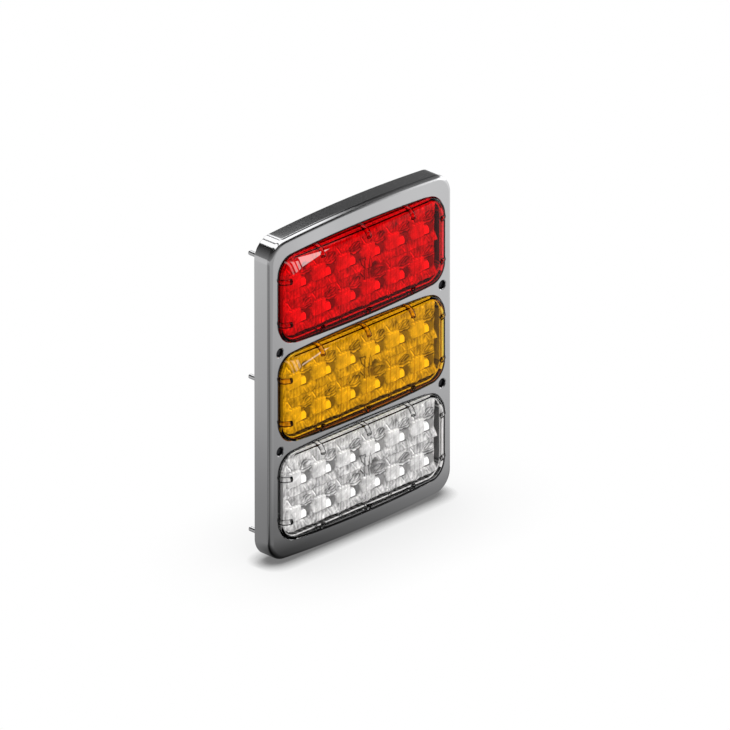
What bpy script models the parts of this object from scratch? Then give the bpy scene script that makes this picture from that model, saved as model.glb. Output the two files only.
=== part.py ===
"""Three-lamp rear light for a trailer: one bezel that holds a red, an amber and a clear LED lamp.

Metres, +Z up. The lamp stands upright, its front faces -Y and its rear mounting plane is Y = 0, with
the origin at the centre of that plane. Every piece is drawn lying on its back instead, in plan
coordinates: x to the right, y up the face, and h the height above the rear mounting plane. The empty
"lamp_frame" then stands the whole lamp up (plan x, y, h become world X, Z, -Y).
"""

import math

import bmesh
import bpy
from mathutils import Matrix

QUARTER_TURN = 0.5 * math.pi

# ---------------------------------------------------------------- shared dimensions (metres)
# "LOW" and "TOP" are heights above the rear plane. A "SIZE" is (half width, half height, corner
# radius) of a rounded rectangle in plan.
CLEAR = 0.0003  # gap kept between pieces that touch on the real lamp
CUT_REAR = -0.001  # cutters that break out through the rear start here
CUT_FRONT = 0.030  # cutters that break out through the front end here

# the lamps, stacked at an even pitch: colour, y of the centre, wire colours
PITCH = 0.0853
LAMPS = (
    ("red", PITCH, ("black", "brown", "red")),
    ("amber", 0.0, ("black", "yellow")),
    ("clear", -PITCH, ("black", "white")),
)

# bezel body, with bowed top and bottom edges
BEZEL_HALF_W = 0.1010
BEZEL_HALF_H = 0.1410  # at the middle of the bowed edges
BEZEL_BOW_R = 1.2650
BEZEL_CORNER_R = 0.0180
BEZEL_FACE = 0.0200  # height of the front face
BEZEL_REAR = 0.0020  # height of the rear rim; the foam gasket sits below it

# lens outline, and the flange that the housing rim matches
LENS_HALF_W = 0.0905
LENS_HALF_H = 0.0382  # at the middle; the long edges bow by about a millimetre
LENS_BOW_R = 3.3000
LENS_CORNER_R = 0.0170
LENS_FLANGE_LOW = 0.0147
FLANGE_SIZE = (0.0932, 0.0394, 0.0189)
HOUSING_RIM_TOP = 0.0127

# ears on the lamp housings, and the screws through them into the bezel
EAR_LOW, EAR_TOP = 0.0048, 0.0070
EAR_Y = 0.0425  # from the lamp's centre
EAR_X_TOP, EAR_X_BOTTOM = 0.0300, 0.0600
LAMP_SCREW_R = 0.00125

# circuit board and optics
COLUMNS, ROWS = 6, 2
COLUMN_PITCH = 0.02725
ROW_PITCH = 0.0301
BOARD_LOW, BOARD_TOP = 0.0033, 0.0049
OPTIC_SCREW_X = 0.5 * COLUMN_PITCH
OPTIC_HOLE_R = 0.0017  # in the board and in the optic array

# studs and front screws in the bezel
STUD_X = 0.0950
STUD_Y = (0.1219, 0.0152, -0.1171)
STUD_R = 0.0020
FRONT_SCREW_X = 0.0900
FRONT_SCREW_Y = 0.5 * PITCH
COUNTERBORE_FLOOR = 0.0150

# wiring outlet
OUTLET_X = 0.0450
WIRE_R = 0.0012
# (x, y) of each wire from the outlet's centre, by number of wires
WIRE_OFFSETS = {
    2: ((-0.0019, 0.0), (0.0019, 0.0)),
    3: ((-0.0019, 0.0011), (0.0019, 0.0011), (0.0, -0.0021)),
}

# ---------------------------------------------------------------- scene set-up
for old in list(bpy.data.objects):
    bpy.data.objects.remove(old, do_unlink=True)

lamp_parts = bpy.data.collections.new("trailer_tail_light")
cutter_parts = bpy.data.collections.new("cutters")
for collection in (lamp_parts, cutter_parts):
    bpy.context.scene.collection.children.link(collection)

lamp_frame = bpy.data.objects.new("lamp_frame", None)
lamp_frame.rotation_euler = (QUARTER_TURN, 0.0, 0.0)
lamp_parts.objects.link(lamp_frame)


# ---------------------------------------------------------------- materials
def finish(name, colour, roughness, metallic=0.0, alpha=1.0, transmission=0.0):
    material = bpy.data.materials.new(name)
    material.use_nodes = True
    shader = material.node_tree.nodes["Principled BSDF"]
    shader.inputs["Base Color"].default_value = (*colour, 1.0)
    shader.inputs["Metallic"].default_value = metallic
    shader.inputs["Roughness"].default_value = roughness
    shader.inputs["Alpha"].default_value = alpha
    shader.inputs["Transmission Weight"].default_value = transmission
    return material


SEE_THROUGH = {"alpha": 0.35, "transmission": 1.0}

SATIN_CHROME = finish("satin_chrome", colour=(0.56, 0.57, 0.58), roughness=0.24, metallic=1.0)
FOAM = finish("closed_cell_foam", colour=(0.02, 0.02, 0.02), roughness=0.9)
HOUSING_PLASTIC = finish("black_housing", colour=(0.03, 0.03, 0.032), roughness=0.45)
SILICONE = finish("silicone_seal", colour=(0.05, 0.05, 0.055), roughness=0.6)
BOARD_WHITE = finish("white_board", colour=(0.85, 0.86, 0.84), roughness=0.35)
OPTIC_CLEAR = finish("clear_optic", colour=(0.95, 0.96, 0.97), roughness=0.04, **SEE_THROUGH)
RUBBER = finish("grommet_rubber", colour=(0.015, 0.015, 0.015), roughness=0.7)
ZINC = finish("zinc_steel", colour=(0.62, 0.63, 0.64), roughness=0.3, metallic=1.0)
BLACK_ZINC = finish(
    "black_zinc_screw", colour=(0.05, 0.05, 0.055), roughness=0.35, metallic=1.0
)
LENS_FINISHES = {
    shade: finish(shade + "_lens", colour=colour, roughness=0.03, **SEE_THROUGH)
    for shade, colour in (
        ("red", (0.72, 0.01, 0.015)),
        ("amber", (0.95, 0.46, 0.0)),
        ("clear", (0.94, 0.95, 0.96)),
    )
}
WIRE_FINISHES = {
    shade: finish(shade + "_wire", colour=colour, roughness=0.45)
    for shade, colour in (
        ("black", (0.02, 0.02, 0.02)),
        ("red", (0.55, 0.02, 0.02)),
        ("brown", (0.2, 0.08, 0.03)),
        ("yellow", (0.75, 0.55, 0.03)),
        ("white", (0.8, 0.8, 0.78)),
    )
}


# ---------------------------------------------------------------- plan outlines and places
def steps(start, end, count):
    return [start + (end - start) * i / count for i in range(count + 1)]


def outline(half_w, half_h, corner_r, corner_steps, edge_steps=1, bow_r=None):
    """Counter-clockwise rounded rectangle in plan, half_h high at its middle.

    With bow_r its long edges are arcs of that radius.
    """
    corner_x = half_w - corner_r
    if bow_r:
        lean = math.asin(corner_x / (bow_r - corner_r))
        corner_y = half_h - bow_r + (bow_r - corner_r) * math.cos(lean)
        edge = [
            (bow_r * math.sin(angle), half_h - bow_r + bow_r * math.cos(angle))
            for angle in steps(lean, 0.0, edge_steps)
        ]
    else:
        lean = 0.0
        corner_y = half_h - corner_r
        edge = [(x, half_h) for x in steps(corner_x, 0.0, edge_steps)]
    corner = [
        (corner_x + corner_r * math.cos(angle), corner_y + corner_r * math.sin(angle))
        for angle in steps(0.0, QUARTER_TURN - lean, corner_steps)
    ]
    quarter = corner + edge[1:]
    top = quarter + [(-x, y) for x, y in reversed(quarter[:-1])]
    return top + [(x, -y) for x, y in reversed(top)]


def shifted(points, dx, dy):
    return [(x + dx, y + dy) for x, y in points]


def lamp_outline(size, lamp_y, corner_steps):
    """A rounded rectangle of the given SIZE, centred on a lamp."""
    return shifted(outline(*size, corner_steps), 0.0, lamp_y)


def bezel_outline(inset, corner_steps, edge_steps):
    return outline(
        BEZEL_HALF_W - inset,
        BEZEL_HALF_H - inset,
        BEZEL_CORNER_R - inset,
        corner_steps,
        edge_steps,
        BEZEL_BOW_R - inset,
    )


def lens_outline(grow, corner_steps=4):
    return outline(
        LENS_HALF_W + grow,
        LENS_HALF_H + grow,
        LENS_CORNER_R + grow,
        corner_steps,
        2,
        LENS_BOW_R + grow,
    )


def pairs(reach, heights):
    """Places left and right of the middle, for each y in heights."""
    return [(x, y) for y in heights for x in (-reach, reach)]


def lamp_screw_places(lamp_y):
    return pairs(EAR_X_TOP, [lamp_y + EAR_Y]) + pairs(EAR_X_BOTTOM, [lamp_y - EAR_Y])


def cell_places(lamp_y):
    """Centres of a lamp's LEDs and optic cups, row by row."""
    return [
        ((c - 0.5 * (COLUMNS - 1)) * COLUMN_PITCH, lamp_y + (r - 0.5 * (ROWS - 1)) * ROW_PITCH)
        for r in range(ROWS)
        for c in range(COLUMNS)
    ]


ALL_LAMP_SCREWS = [place for _, lamp_y, _ in LAMPS for place in lamp_screw_places(lamp_y)]
FRONT_SCREWS = pairs(FRONT_SCREW_X, (FRONT_SCREW_Y, -FRONT_SCREW_Y))
STUDS = pairs(STUD_X, STUD_Y)


# ---------------------------------------------------------------- mesh makers
def to_mesh(work, mesh=None):
    """Writes a bmesh into the given mesh, or into a new one, and frees it."""
    mesh = mesh or bpy.data.meshes.new("mesh")
    work.to_mesh(mesh)
    work.free()
    return mesh


def mesh_from_curve(curve):
    """The curve's solid as a mesh with its caps welded on."""
    holder = bpy.data.objects.new("curve_holder", curve)
    bpy.context.scene.collection.objects.link(holder)
    bpy.context.view_layer.update()
    graph = bpy.context.evaluated_depsgraph_get()
    mesh = bpy.data.meshes.new_from_object(holder.evaluated_get(graph))
    bpy.data.objects.remove(holder, do_unlink=True)
    work = bmesh.new()
    work.from_mesh(mesh)
    bmesh.ops.remove_doubles(work, verts=work.verts, dist=1e-6)
    bmesh.ops.dissolve_degenerate(work, edges=work.edges, dist=1e-7)
    bmesh.ops.recalc_face_normals(work, faces=work.faces)
    return to_mesh(work, mesh)


def add_spline(curve, points):
    spline = curve.splines.new("POLY")
    spline.points.add(len(points) - 1)
    for point, place in zip(spline.points, points):
        point.co = (*place, 1.0)
    return spline


def plate_curve(outlines, half_depth):
    curve = bpy.data.curves.new("plate", "CURVE")
    curve.dimensions = "2D"
    curve.fill_mode = "BOTH"
    curve.extrude = half_depth
    for points in outlines:
        add_spline(curve, [(x, y, 0.0) for x, y in points]).use_cyclic_u = True
    return curve


def slab(outlines, low, high):
    """A flat plate. The first outline is its edge and any others are holes in it."""
    mesh = mesh_from_curve(plate_curve(outlines, 0.5 * (high - low)))
    mesh.transform(Matrix.Translation((0.0, 0.0, 0.5 * (low + high))))
    return mesh


def rounded_slab(points, low, high, edge_r, edge_steps):
    """A plate with a rounded front edge. The outline is given edge_r inside the finished size."""
    curve = plate_curve([points], 0.5 * (high - low) + edge_r)
    curve.bevel_depth = edge_r
    curve.bevel_resolution = edge_steps - 1
    mesh = mesh_from_curve(curve)
    mesh.transform(Matrix.Translation((0.0, 0.0, high - edge_r - curve.extrude)))

    # the curve rounds both edges, so it is made too deep and its rear is cut off flat
    work = bmesh.new()
    work.from_mesh(mesh)
    bmesh.ops.bisect_plane(
        work,
        geom=work.verts[:] + work.edges[:] + work.faces[:],
        plane_co=(0, 0, low),
        plane_no=(0, 0, 1),
        clear_inner=True,
    )
    rim = [edge for edge in work.edges if edge.is_boundary]
    bmesh.ops.holes_fill(work, edges=rim, sides=0)
    bmesh.ops.triangulate(work, faces=[face for face in work.faces if len(face.verts) > 4])
    bmesh.ops.recalc_face_normals(work, faces=work.faces)
    return to_mesh(work, mesh)


def tube(path, radius):
    """A round, capped tube along a path."""
    curve = bpy.data.curves.new("tube", "CURVE")
    curve.dimensions = "3D"
    curve.fill_mode = "FULL"
    curve.bevel_depth = radius
    curve.bevel_resolution = 1
    curve.use_fill_caps = True
    add_spline(curve, path)
    return mesh_from_curve(curve)


def pins(places, low, high, radius, top_radius=None):
    """Pieces for cylinders(): the same upright cylinder or cone at each place."""
    return [(x, y, low, high, radius, top_radius or radius) for x, y in places]


def cylinders(pieces, segments):
    """One mesh of upright cylinders or cones, from lists made by pins()."""
    work = bmesh.new()
    for x, y, low, high, low_radius, top_radius in pieces:
        bmesh.ops.create_cone(
            work,
            cap_ends=True,
            segments=segments,
            radius1=low_radius,
            radius2=top_radius,
            depth=high - low,
            matrix=Matrix.Translation((x, y, 0.5 * (low + high))),
        )
    return to_mesh(work)


def boxes(places, low, high, size_x, size_y):
    """One mesh with the same box at each place."""
    work = bmesh.new()
    for x, y in places:
        bmesh.ops.create_cube(
            work,
            size=1.0,
            matrix=Matrix.Translation((x, y, 0.5 * (low + high)))
            @ Matrix.Diagonal((size_x, size_y, high - low, 1.0)),
        )
    return to_mesh(work)


def loft(rings):
    """A solid through rings of equal count, each made from an outline().

    Both ends are closed by joining the ring's upper half to its lower half with quads.
    """
    work = bmesh.new()
    count = len(rings[0])
    levels = [[work.verts.new(point) for point in ring] for ring in rings]
    for below, above in zip(levels, levels[1:]):
        for i in range(count):
            j = (i + 1) % count
            work.faces.new((below[i], below[j], above[j], above[i]))
    for level in (levels[0], levels[-1]):
        for i in range(count // 2 - 1):
            work.faces.new(
                (level[i], level[i + 1], level[count - 2 - i], level[count - 1 - i])
            )
    bmesh.ops.recalc_face_normals(work, faces=work.faces)
    return to_mesh(work)


def placed(mesh, lamp_y):
    mesh.transform(Matrix.Translation((0.0, lamp_y, 0.0)))
    return mesh


def eight_sided_bore(pin_radius):
    """Radius of an eight-sided bore whose flats clear a round pin."""
    return pin_radius / math.cos(math.pi / 8) + CLEAR


# ---------------------------------------------------------------- objects and modifiers
def add_object(name, mesh, material=None, collection=lamp_parts):
    made = bpy.data.objects.new(name, mesh)
    mesh.name = name
    made.parent = lamp_frame
    if material:
        mesh.materials.append(material)
    collection.objects.link(made)
    return made


def boolean(target, operation, name, mesh):
    """An EXACT Boolean modifier whose operand stays in the cutters collection."""
    operand = add_object(name, mesh, collection=cutter_parts)
    operand.hide_render = True
    operand.display_type = "WIRE"
    modifier = target.modifiers.new(name, "BOOLEAN")
    modifier.operation = operation
    modifier.solver = "EXACT"
    modifier.object = operand


def join(target, name, mesh):
    boolean(target, "UNION", name, mesh)


def cut(target, name, mesh):
    boolean(target, "DIFFERENCE", name, mesh)


def smooth(target, degrees):
    target.data.shade_smooth()
    target.data.set_sharp_from_angle(angle=math.radians(degrees))


def turned(name, profile, place, material, segments):
    """A round part: (radius, height) points turned about the upright axis through its origin."""
    work = bmesh.new()
    verts = [work.verts.new((radius, 0.0, height)) for radius, height in profile]
    for start, end in zip(verts, verts[1:]):
        work.edges.new((start, end))
    made = add_object(name, to_mesh(work), material)
    made.location = place
    turn = made.modifiers.new("turn", "SCREW")
    turn.axis = "Z"
    turn.steps = segments
    turn.render_steps = segments
    turn.use_merge_vertices = True
    turn.merge_threshold = 0.00001
    turn.use_smooth_shade = True
    return made


def screw(name, place, head_r, head_h, shank_r, length, material):
    """A pan-head screw with its origin at the seat, its head towards the front."""
    profile = [
        (0.0, head_h),
        (0.75 * head_r, head_h),
        (head_r, 0.5 * head_h),
        (head_r, 0.0),
        (shank_r, 0.0),
        (shank_r, -length + shank_r),
        (0.0, -length),
    ]
    return turned(name, profile, place, material, segments=8)


# ---------------------------------------------------------------- bezel
BEZEL_EDGE_R = 0.0040  # rounding between the face and the sides
BEZEL_WALL = 0.0025
BEZEL_SKIN = 0.0030
SKIN_INSIDE = BEZEL_FACE - BEZEL_SKIN
HOLLOW_LOW = -0.010
OPENING_GAP = 0.0008  # the dark gap between each lens and the bezel
OPENING_LOW = 0.010
BOSS_ROOT = SKIN_INSIDE + 0.001  # bosses overlap the skin by a millimetre
LAMP_BOSS_R = 0.0028
FRONT_BOSS_R = 0.0055
STUD_BOSS_R = 0.0034
STUD_BOSS_TOP = 0.0108
# blocks that tie the stud bosses to the side walls
ROOT_END_X = BEZEL_HALF_W - 0.0015
ROOT_LOW, ROOT_TOP = BEZEL_REAR + 0.0005, 0.0104
ROOT_SIZE_Y = 0.0052
LAMP_HOLE_LOW, LAMP_HOLE_TOP = 0.0, SKIN_INSIDE - 0.001
STUD_HOLE_TOP = 0.0100
COUNTERBORE_R = 0.00375
FRONT_HOLE_R = 0.0025
FRONT_HOLE_TOP = 0.0155
BEZEL_WELD = 0.000004


def build_bezel():
    """A moulded cover: hollow behind, with three lens openings and bosses for the fasteners."""
    body = rounded_slab(
        bezel_outline(BEZEL_EDGE_R, 7, 4), BEZEL_REAR, BEZEL_FACE, BEZEL_EDGE_R, edge_steps=3
    )
    bezel = add_object("bezel", body, SATIN_CHROME)
    cut(bezel, "bezel_hollow", slab([bezel_outline(BEZEL_WALL, 4, 3)], HOLLOW_LOW, SKIN_INSIDE))
    for colour, lamp_y, _ in LAMPS:
        opening = shifted(lens_outline(OPENING_GAP, corner_steps=5), 0.0, lamp_y)
        cut(bezel, colour + "_opening", slab([opening], OPENING_LOW, CUT_FRONT))

    lamp_bosses = pins(ALL_LAMP_SCREWS, EAR_TOP + CLEAR, BOSS_ROOT, LAMP_BOSS_R)
    join(bezel, "lamp_bosses", cylinders(lamp_bosses, 8))
    front_bosses = pins(FRONT_SCREWS, BEZEL_REAR, BOSS_ROOT, FRONT_BOSS_R)
    join(bezel, "front_bosses", cylinders(front_bosses, 12))
    stud_bosses = pins(STUDS, BEZEL_REAR, STUD_BOSS_TOP, STUD_BOSS_R)
    join(bezel, "stud_bosses", cylinders(stud_bosses, 10))
    root_places = pairs(0.5 * (STUD_X + ROOT_END_X), STUD_Y)
    roots = boxes(root_places, ROOT_LOW, ROOT_TOP, ROOT_END_X - STUD_X, ROOT_SIZE_Y)
    join(bezel, "stud_boss_roots", roots)

    holes = pins(ALL_LAMP_SCREWS, LAMP_HOLE_LOW, LAMP_HOLE_TOP, eight_sided_bore(LAMP_SCREW_R))
    holes += pins(STUDS, CUT_REAR, STUD_HOLE_TOP, eight_sided_bore(STUD_R))
    cut(bezel, "bezel_holes", cylinders(holes, 8))
    counterbores = pins(FRONT_SCREWS, COUNTERBORE_FLOOR, CUT_FRONT, COUNTERBORE_R)
    cut(bezel, "counterbores", cylinders(counterbores, 16))
    front_holes = pins(FRONT_SCREWS, CUT_REAR, FRONT_HOLE_TOP, FRONT_HOLE_R)
    cut(bezel, "front_screw_holes", cylinders(front_holes, 10))

    # merges the coincident points that the chain of Booleans leaves
    bezel.modifiers.new("weld", "WELD").merge_threshold = BEZEL_WELD
    smooth(bezel, 25.0)


# ---------------------------------------------------------------- foam gasket
GASKET_INSET = 0.0025
GASKET_OPENING_SIZE = (0.0919, 0.1310, 0.0200)
GASKET_TOP = BEZEL_REAR - CLEAR
GASKET_LOBE_R = 0.0065
GASKET_STUD_HOLE_R = STUD_R + 0.0004
GASKET_SCREW_HOLE_R = 0.0026
GASKET_HOLE_TOP = 0.004


def build_gasket():
    """A foam ring behind the bezel, with a round lobe at each front screw."""
    ring = [bezel_outline(GASKET_INSET, 5, 3), outline(*GASKET_OPENING_SIZE, 4)]
    gasket = add_object("foam_gasket", slab(ring, 0.0, GASKET_TOP), FOAM)
    lobes = pins(FRONT_SCREWS, 0.0, GASKET_TOP, GASKET_LOBE_R)
    join(gasket, "gasket_lobes", cylinders(lobes, 12))
    holes = pins(STUDS, CUT_REAR, GASKET_HOLE_TOP, GASKET_STUD_HOLE_R)
    holes += pins(FRONT_SCREWS, CUT_REAR, GASKET_HOLE_TOP, GASKET_SCREW_HOLE_R)
    cut(gasket, "gasket_holes", cylinders(holes, 8))


# ---------------------------------------------------------------- lens
LENS_PROUD_MID = 0.0096  # height above the bezel face at the middle
LENS_PROUD_DROP = 0.0032  # how much lower the face is near its short ends
LENS_SHOULDER_R = 0.0040
LENS_WALL = 0.0022
LENS_FLANGE_TOP = 0.0167
RIB_R = 0.0024
RIB_X = 0.0500  # ribs on the long edges, either side of the middle one
RIB_Y = 0.0185  # ribs on the short ends
# rib stations: distance inwards from the lens edge, height
RIB_STATIONS = ((0.0019, 0.0180), (0.0024, 0.0240))
RIB_TIP_INSET = 0.0050
LONG_EDGE_RIB_TOP = 0.0294
SHORT_END_RIB_TOP = 0.0284


def lens_face_height(x):
    """Height of the crowned face: highest at the middle, lower towards the short ends."""
    return BEZEL_FACE + LENS_PROUD_MID - LENS_PROUD_DROP * (x / LENS_HALF_W) ** 2


def level_ring(points, height):
    return [(x, y, height) for x, y in points]


def shoulder_ring(depth, angle):
    """A ring on the shoulder rounding of the surface that lies depth inside the outer one.

    The angle runs from 0 at the wall to a quarter turn at the face.
    """
    radius = LENS_SHOULDER_R - depth
    drop = depth + radius * (1 - math.sin(angle))
    points = lens_outline(-(depth + radius * (1 - math.cos(angle))))
    return [(x, y, lens_face_height(x) - drop) for x, y in points]


def lens_mesh():
    """One loft: from the inner ceiling down the inner wall, round the flange, up the outer wall,
    over the shoulder and across the crowned face."""
    flange = outline(*FLANGE_SIZE, 4, 2)
    rings = [shoulder_ring(LENS_WALL, angle) for angle in steps(QUARTER_TURN, 0.0, 1)]
    rings += [
        level_ring(lens_outline(-LENS_WALL), LENS_FLANGE_LOW),
        level_ring(flange, LENS_FLANGE_LOW),
        level_ring(flange, LENS_FLANGE_TOP),
        level_ring(lens_outline(0.0), LENS_FLANGE_TOP),
    ]
    rings += [shoulder_ring(0.0, angle) for angle in steps(0.0, QUARTER_TURN, 3)]
    return loft(rings)


def long_edge_y(x):
    return LENS_HALF_H - LENS_BOW_R + math.sqrt(LENS_BOW_R**2 - x * x)


def rib_paths():
    """Each rib climbs the lens wall and leans inwards over the shoulder."""
    # foot x, foot y, inward direction x and y, top height
    feet = [
        (x, side * long_edge_y(x), 0.0, -side, LONG_EDGE_RIB_TOP)
        for side in (1, -1)
        for x in (-RIB_X, 0.0, RIB_X)
    ] + [
        (side * LENS_HALF_W, y, -side, 0.0, SHORT_END_RIB_TOP)
        for side in (1, -1)
        for y in (-RIB_Y, RIB_Y)
    ]
    for x, y, inward_x, inward_y, top in feet:
        stations = (*RIB_STATIONS, (RIB_TIP_INSET, top))
        yield [(x + inward_x * inset, y + inward_y * inset, h) for inset, h in stations]


def rib_mesh():
    work = bmesh.new()
    for path in rib_paths():
        work.from_mesh(tube(path, RIB_R))
    return to_mesh(work)


def build_lens(colour, lamp_y):
    """A crowned cover with ten ribs, standing proud of the bezel."""
    lens = add_object(colour + "_lens", placed(lens_mesh(), lamp_y), LENS_FINISHES[colour])
    join(lens, colour + "_ribs", placed(rib_mesh(), lamp_y))
    smooth(lens, 30.0)


# ---------------------------------------------------------------- lens seal
SEAL_OUTER_SIZE = (0.0926, 0.0388, 0.0183)
SEAL_INNER_SIZE = (0.0896, 0.0372, 0.0153)


def build_seal(colour, lamp_y):
    """A silicone ring between the lens flange and the housing rim."""
    ring = [lamp_outline(size, lamp_y, 4) for size in (SEAL_OUTER_SIZE, SEAL_INNER_SIZE)]
    seal = slab(ring, HOUSING_RIM_TOP + CLEAR, LENS_FLANGE_LOW - CLEAR)
    add_object(colour + "_lens_seal", seal, SILICONE)


# ---------------------------------------------------------------- housing
HOUSING_HALF_H = 0.0390
HOUSING_SIZE = (0.0912, HOUSING_HALF_H, 0.0155)
HOUSING_RIM_LOW = 0.0112
HOUSING_WALL = 0.0020
EAR_R = 0.00285
EAR_CORNER_R = EAR_R - 0.00001  # leaves a sliver of flat at the ear's end
EAR_ROOT = HOUSING_HALF_H - 0.0010  # ears overlap the housing wall by a millimetre
POST_X, POST_Y = 0.076, 0.024
POST_R = 0.0030
POST_LOW = HOUSING_WALL - 0.0005
HOUSING_SCREW_HOLE_R = 0.00155
HOUSING_HOLE_TOP = 0.0100
OPTIC_SCREW_HOLE_LOW = 0.0009  # blind: it stops inside the floor
OUTLET_R = 0.0050
POCKET_R = 0.0090
POCKET_DEPTH = 0.0009


def ear_mesh(x, lamp_y, side):
    """A round-ended tab beyond the top (side 1) or bottom (side -1) of a housing."""
    end = EAR_Y + EAR_R
    tab = outline(EAR_R, 0.5 * (end - EAR_ROOT), EAR_CORNER_R, 3)
    return slab([shifted(tab, x, lamp_y + side * 0.5 * (EAR_ROOT + end))], EAR_LOW, EAR_TOP)


def build_housing(colour, lamp_y):
    """A tray whose floor is the lamp's rear face, with a rim, four ears, posts and an outlet."""
    body = slab([lamp_outline(HOUSING_SIZE, lamp_y, 5)], 0.0, HOUSING_RIM_TOP)
    housing = add_object(colour + "_housing", body, HOUSING_PLASTIC)
    rim = slab([lamp_outline(FLANGE_SIZE, lamp_y, 5)], HOUSING_RIM_LOW, HOUSING_RIM_TOP)
    join(housing, colour + "_housing_rim", rim)
    screws = lamp_screw_places(lamp_y)
    for i, (x, y) in enumerate(screws, 1):
        join(housing, f"{colour}_ear_{i}", ear_mesh(x, lamp_y, math.copysign(1.0, y - lamp_y)))
    hollow_size = [value - HOUSING_WALL for value in HOUSING_SIZE]
    hollow = slab([lamp_outline(hollow_size, lamp_y, 4)], HOUSING_WALL, CUT_FRONT)
    cut(housing, colour + "_housing_hollow", hollow)

    optic_screw = [(OPTIC_SCREW_X, lamp_y)]
    outlet = [(OUTLET_X, lamp_y)]
    post_places = pairs(POST_X, (lamp_y + POST_Y, lamp_y - POST_Y)) + optic_screw
    posts = pins(post_places, POST_LOW, BOARD_LOW - CLEAR, POST_R)
    join(housing, colour + "_posts", cylinders(posts, 8))
    holes = pins(screws, 0.0, HOUSING_HOLE_TOP, HOUSING_SCREW_HOLE_R)
    holes += pins(optic_screw, OPTIC_SCREW_HOLE_LOW, HOUSING_HOLE_TOP, HOUSING_SCREW_HOLE_R)
    holes += pins(outlet, CUT_REAR, HOUSING_HOLE_TOP, OUTLET_R)
    cut(housing, colour + "_housing_holes", cylinders(holes, 10))
    pocket = pins(outlet, CUT_REAR, POCKET_DEPTH, POCKET_R)
    cut(housing, colour + "_outlet_pocket", cylinders(pocket, 16))


# ---------------------------------------------------------------- circuit board
BOARD_SIZE = (0.0860, 0.0335, 0.0100)
LED_SIDE = 0.0035
LED_LOW, LED_TOP = BOARD_TOP - 0.0002, BOARD_TOP + 0.0009
BOARD_HOLE_LOW, BOARD_HOLE_TOP = 0.0, 0.0080


def build_board(colour, lamp_y):
    """A board with twelve square LED packages on its front."""
    plate = slab([lamp_outline(BOARD_SIZE, lamp_y, 4)], BOARD_LOW, BOARD_TOP)
    board = add_object(colour + "_led_board", plate, BOARD_WHITE)
    leds = boxes(cell_places(lamp_y), LED_LOW, LED_TOP, LED_SIDE, LED_SIDE)
    join(board, colour + "_leds", leds)
    hole = pins([(OPTIC_SCREW_X, lamp_y)], BOARD_HOLE_LOW, BOARD_HOLE_TOP, OPTIC_HOLE_R)
    cut(board, colour + "_board_hole", cylinders(hole, 8))


# ---------------------------------------------------------------- optic array
WEB_SIZE = (0.0820, 0.0300, 0.0080)
WEB_LOW, WEB_TOP = 0.0120, 0.0138
CUP_BASE_R, CUP_MOUTH_R = 0.0052, 0.0132
CUP_LOW, CUP_TOP = 0.0064, 0.0225
LEG_X = 0.0545
LEG_R = 0.0018
LEG_TOP = WEB_TOP - 0.0004
OPTIC_HOLE_LOW, OPTIC_HOLE_TOP = 0.0100, 0.0160


def build_optic(colour, lamp_y):
    """Twelve collimator cups on one web, with two legs that stand on the board."""
    web = slab([lamp_outline(WEB_SIZE, lamp_y, 4)], WEB_LOW, WEB_TOP)
    optic = add_object(colour + "_optic_array", web, OPTIC_CLEAR)
    # neighbours in a row go into different operands
    for half in (0, 1):
        places = cell_places(lamp_y)[half::2]
        cups = pins(places, CUP_LOW, CUP_TOP, CUP_BASE_R, CUP_MOUTH_R)
        join(optic, f"{colour}_cups_{half}", cylinders(cups, 10))
    legs = pins(pairs(LEG_X, [lamp_y]), BOARD_TOP + CLEAR, LEG_TOP, LEG_R)
    join(optic, colour + "_legs", cylinders(legs, 8))
    hole = pins([(OPTIC_SCREW_X, lamp_y)], OPTIC_HOLE_LOW, OPTIC_HOLE_TOP, OPTIC_HOLE_R)
    cut(optic, colour + "_optic_hole", cylinders(hole, 8))


# ---------------------------------------------------------------- lamp screws
OPTIC_SCREW_SEAT = WEB_TOP + CLEAR
OPTIC_SCREW_TIP = 0.0013


def build_lamp_screws(colour, lamp_y):
    """One screw through the optic array, and four that hold the lamp in the bezel."""
    screw(
        colour + "_optic_screw",
        (OPTIC_SCREW_X, lamp_y, OPTIC_SCREW_SEAT),
        head_r=0.0026,
        head_h=0.0017,
        shank_r=LAMP_SCREW_R,
        length=OPTIC_SCREW_SEAT - OPTIC_SCREW_TIP,
        material=BLACK_ZINC,
    )
    for i, (x, y) in enumerate(lamp_screw_places(lamp_y), 1):
        lamp_screw = screw(
            f"{colour}_lamp_screw_{i}",
            (x, y, EAR_LOW - CLEAR),
            head_r=0.0024,
            head_h=0.0018,
            shank_r=LAMP_SCREW_R,
            length=0.0105,
            material=ZINC,
        )
        # turned over: it is driven from behind
        lamp_screw.rotation_euler = (math.pi, 0.0, 0.0)


# ---------------------------------------------------------------- grommet
# radius, height; from the front face round to the rear face
GROMMET_PROFILE = (
    (0.0, 0.0030), (0.0064, 0.0030), (0.0064, 0.0023), (0.0047, 0.0023), (0.0047, 0.0006),
    (0.0075, 0.0006), (0.0075, 0.00005), (0.0056, 0.00005), (0.0044, -0.0060), (0.0, -0.0060),
)
WIRE_BORE_REACH = 0.010  # the bores' cutters run this far to either side of the rear plane


def build_grommet(colour, lamp_y, offsets):
    """A turned rubber part with one bore for each wire."""
    place = (OUTLET_X, lamp_y, 0.0)
    grommet = turned(colour + "_grommet", GROMMET_PROFILE, place, RUBBER, segments=12)
    bores = pins(
        shifted(offsets, OUTLET_X, lamp_y),
        -WIRE_BORE_REACH,
        WIRE_BORE_REACH,
        eight_sided_bore(WIRE_R),
    )
    cut(grommet, colour + "_wire_bores", cylinders(bores, 8))


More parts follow.
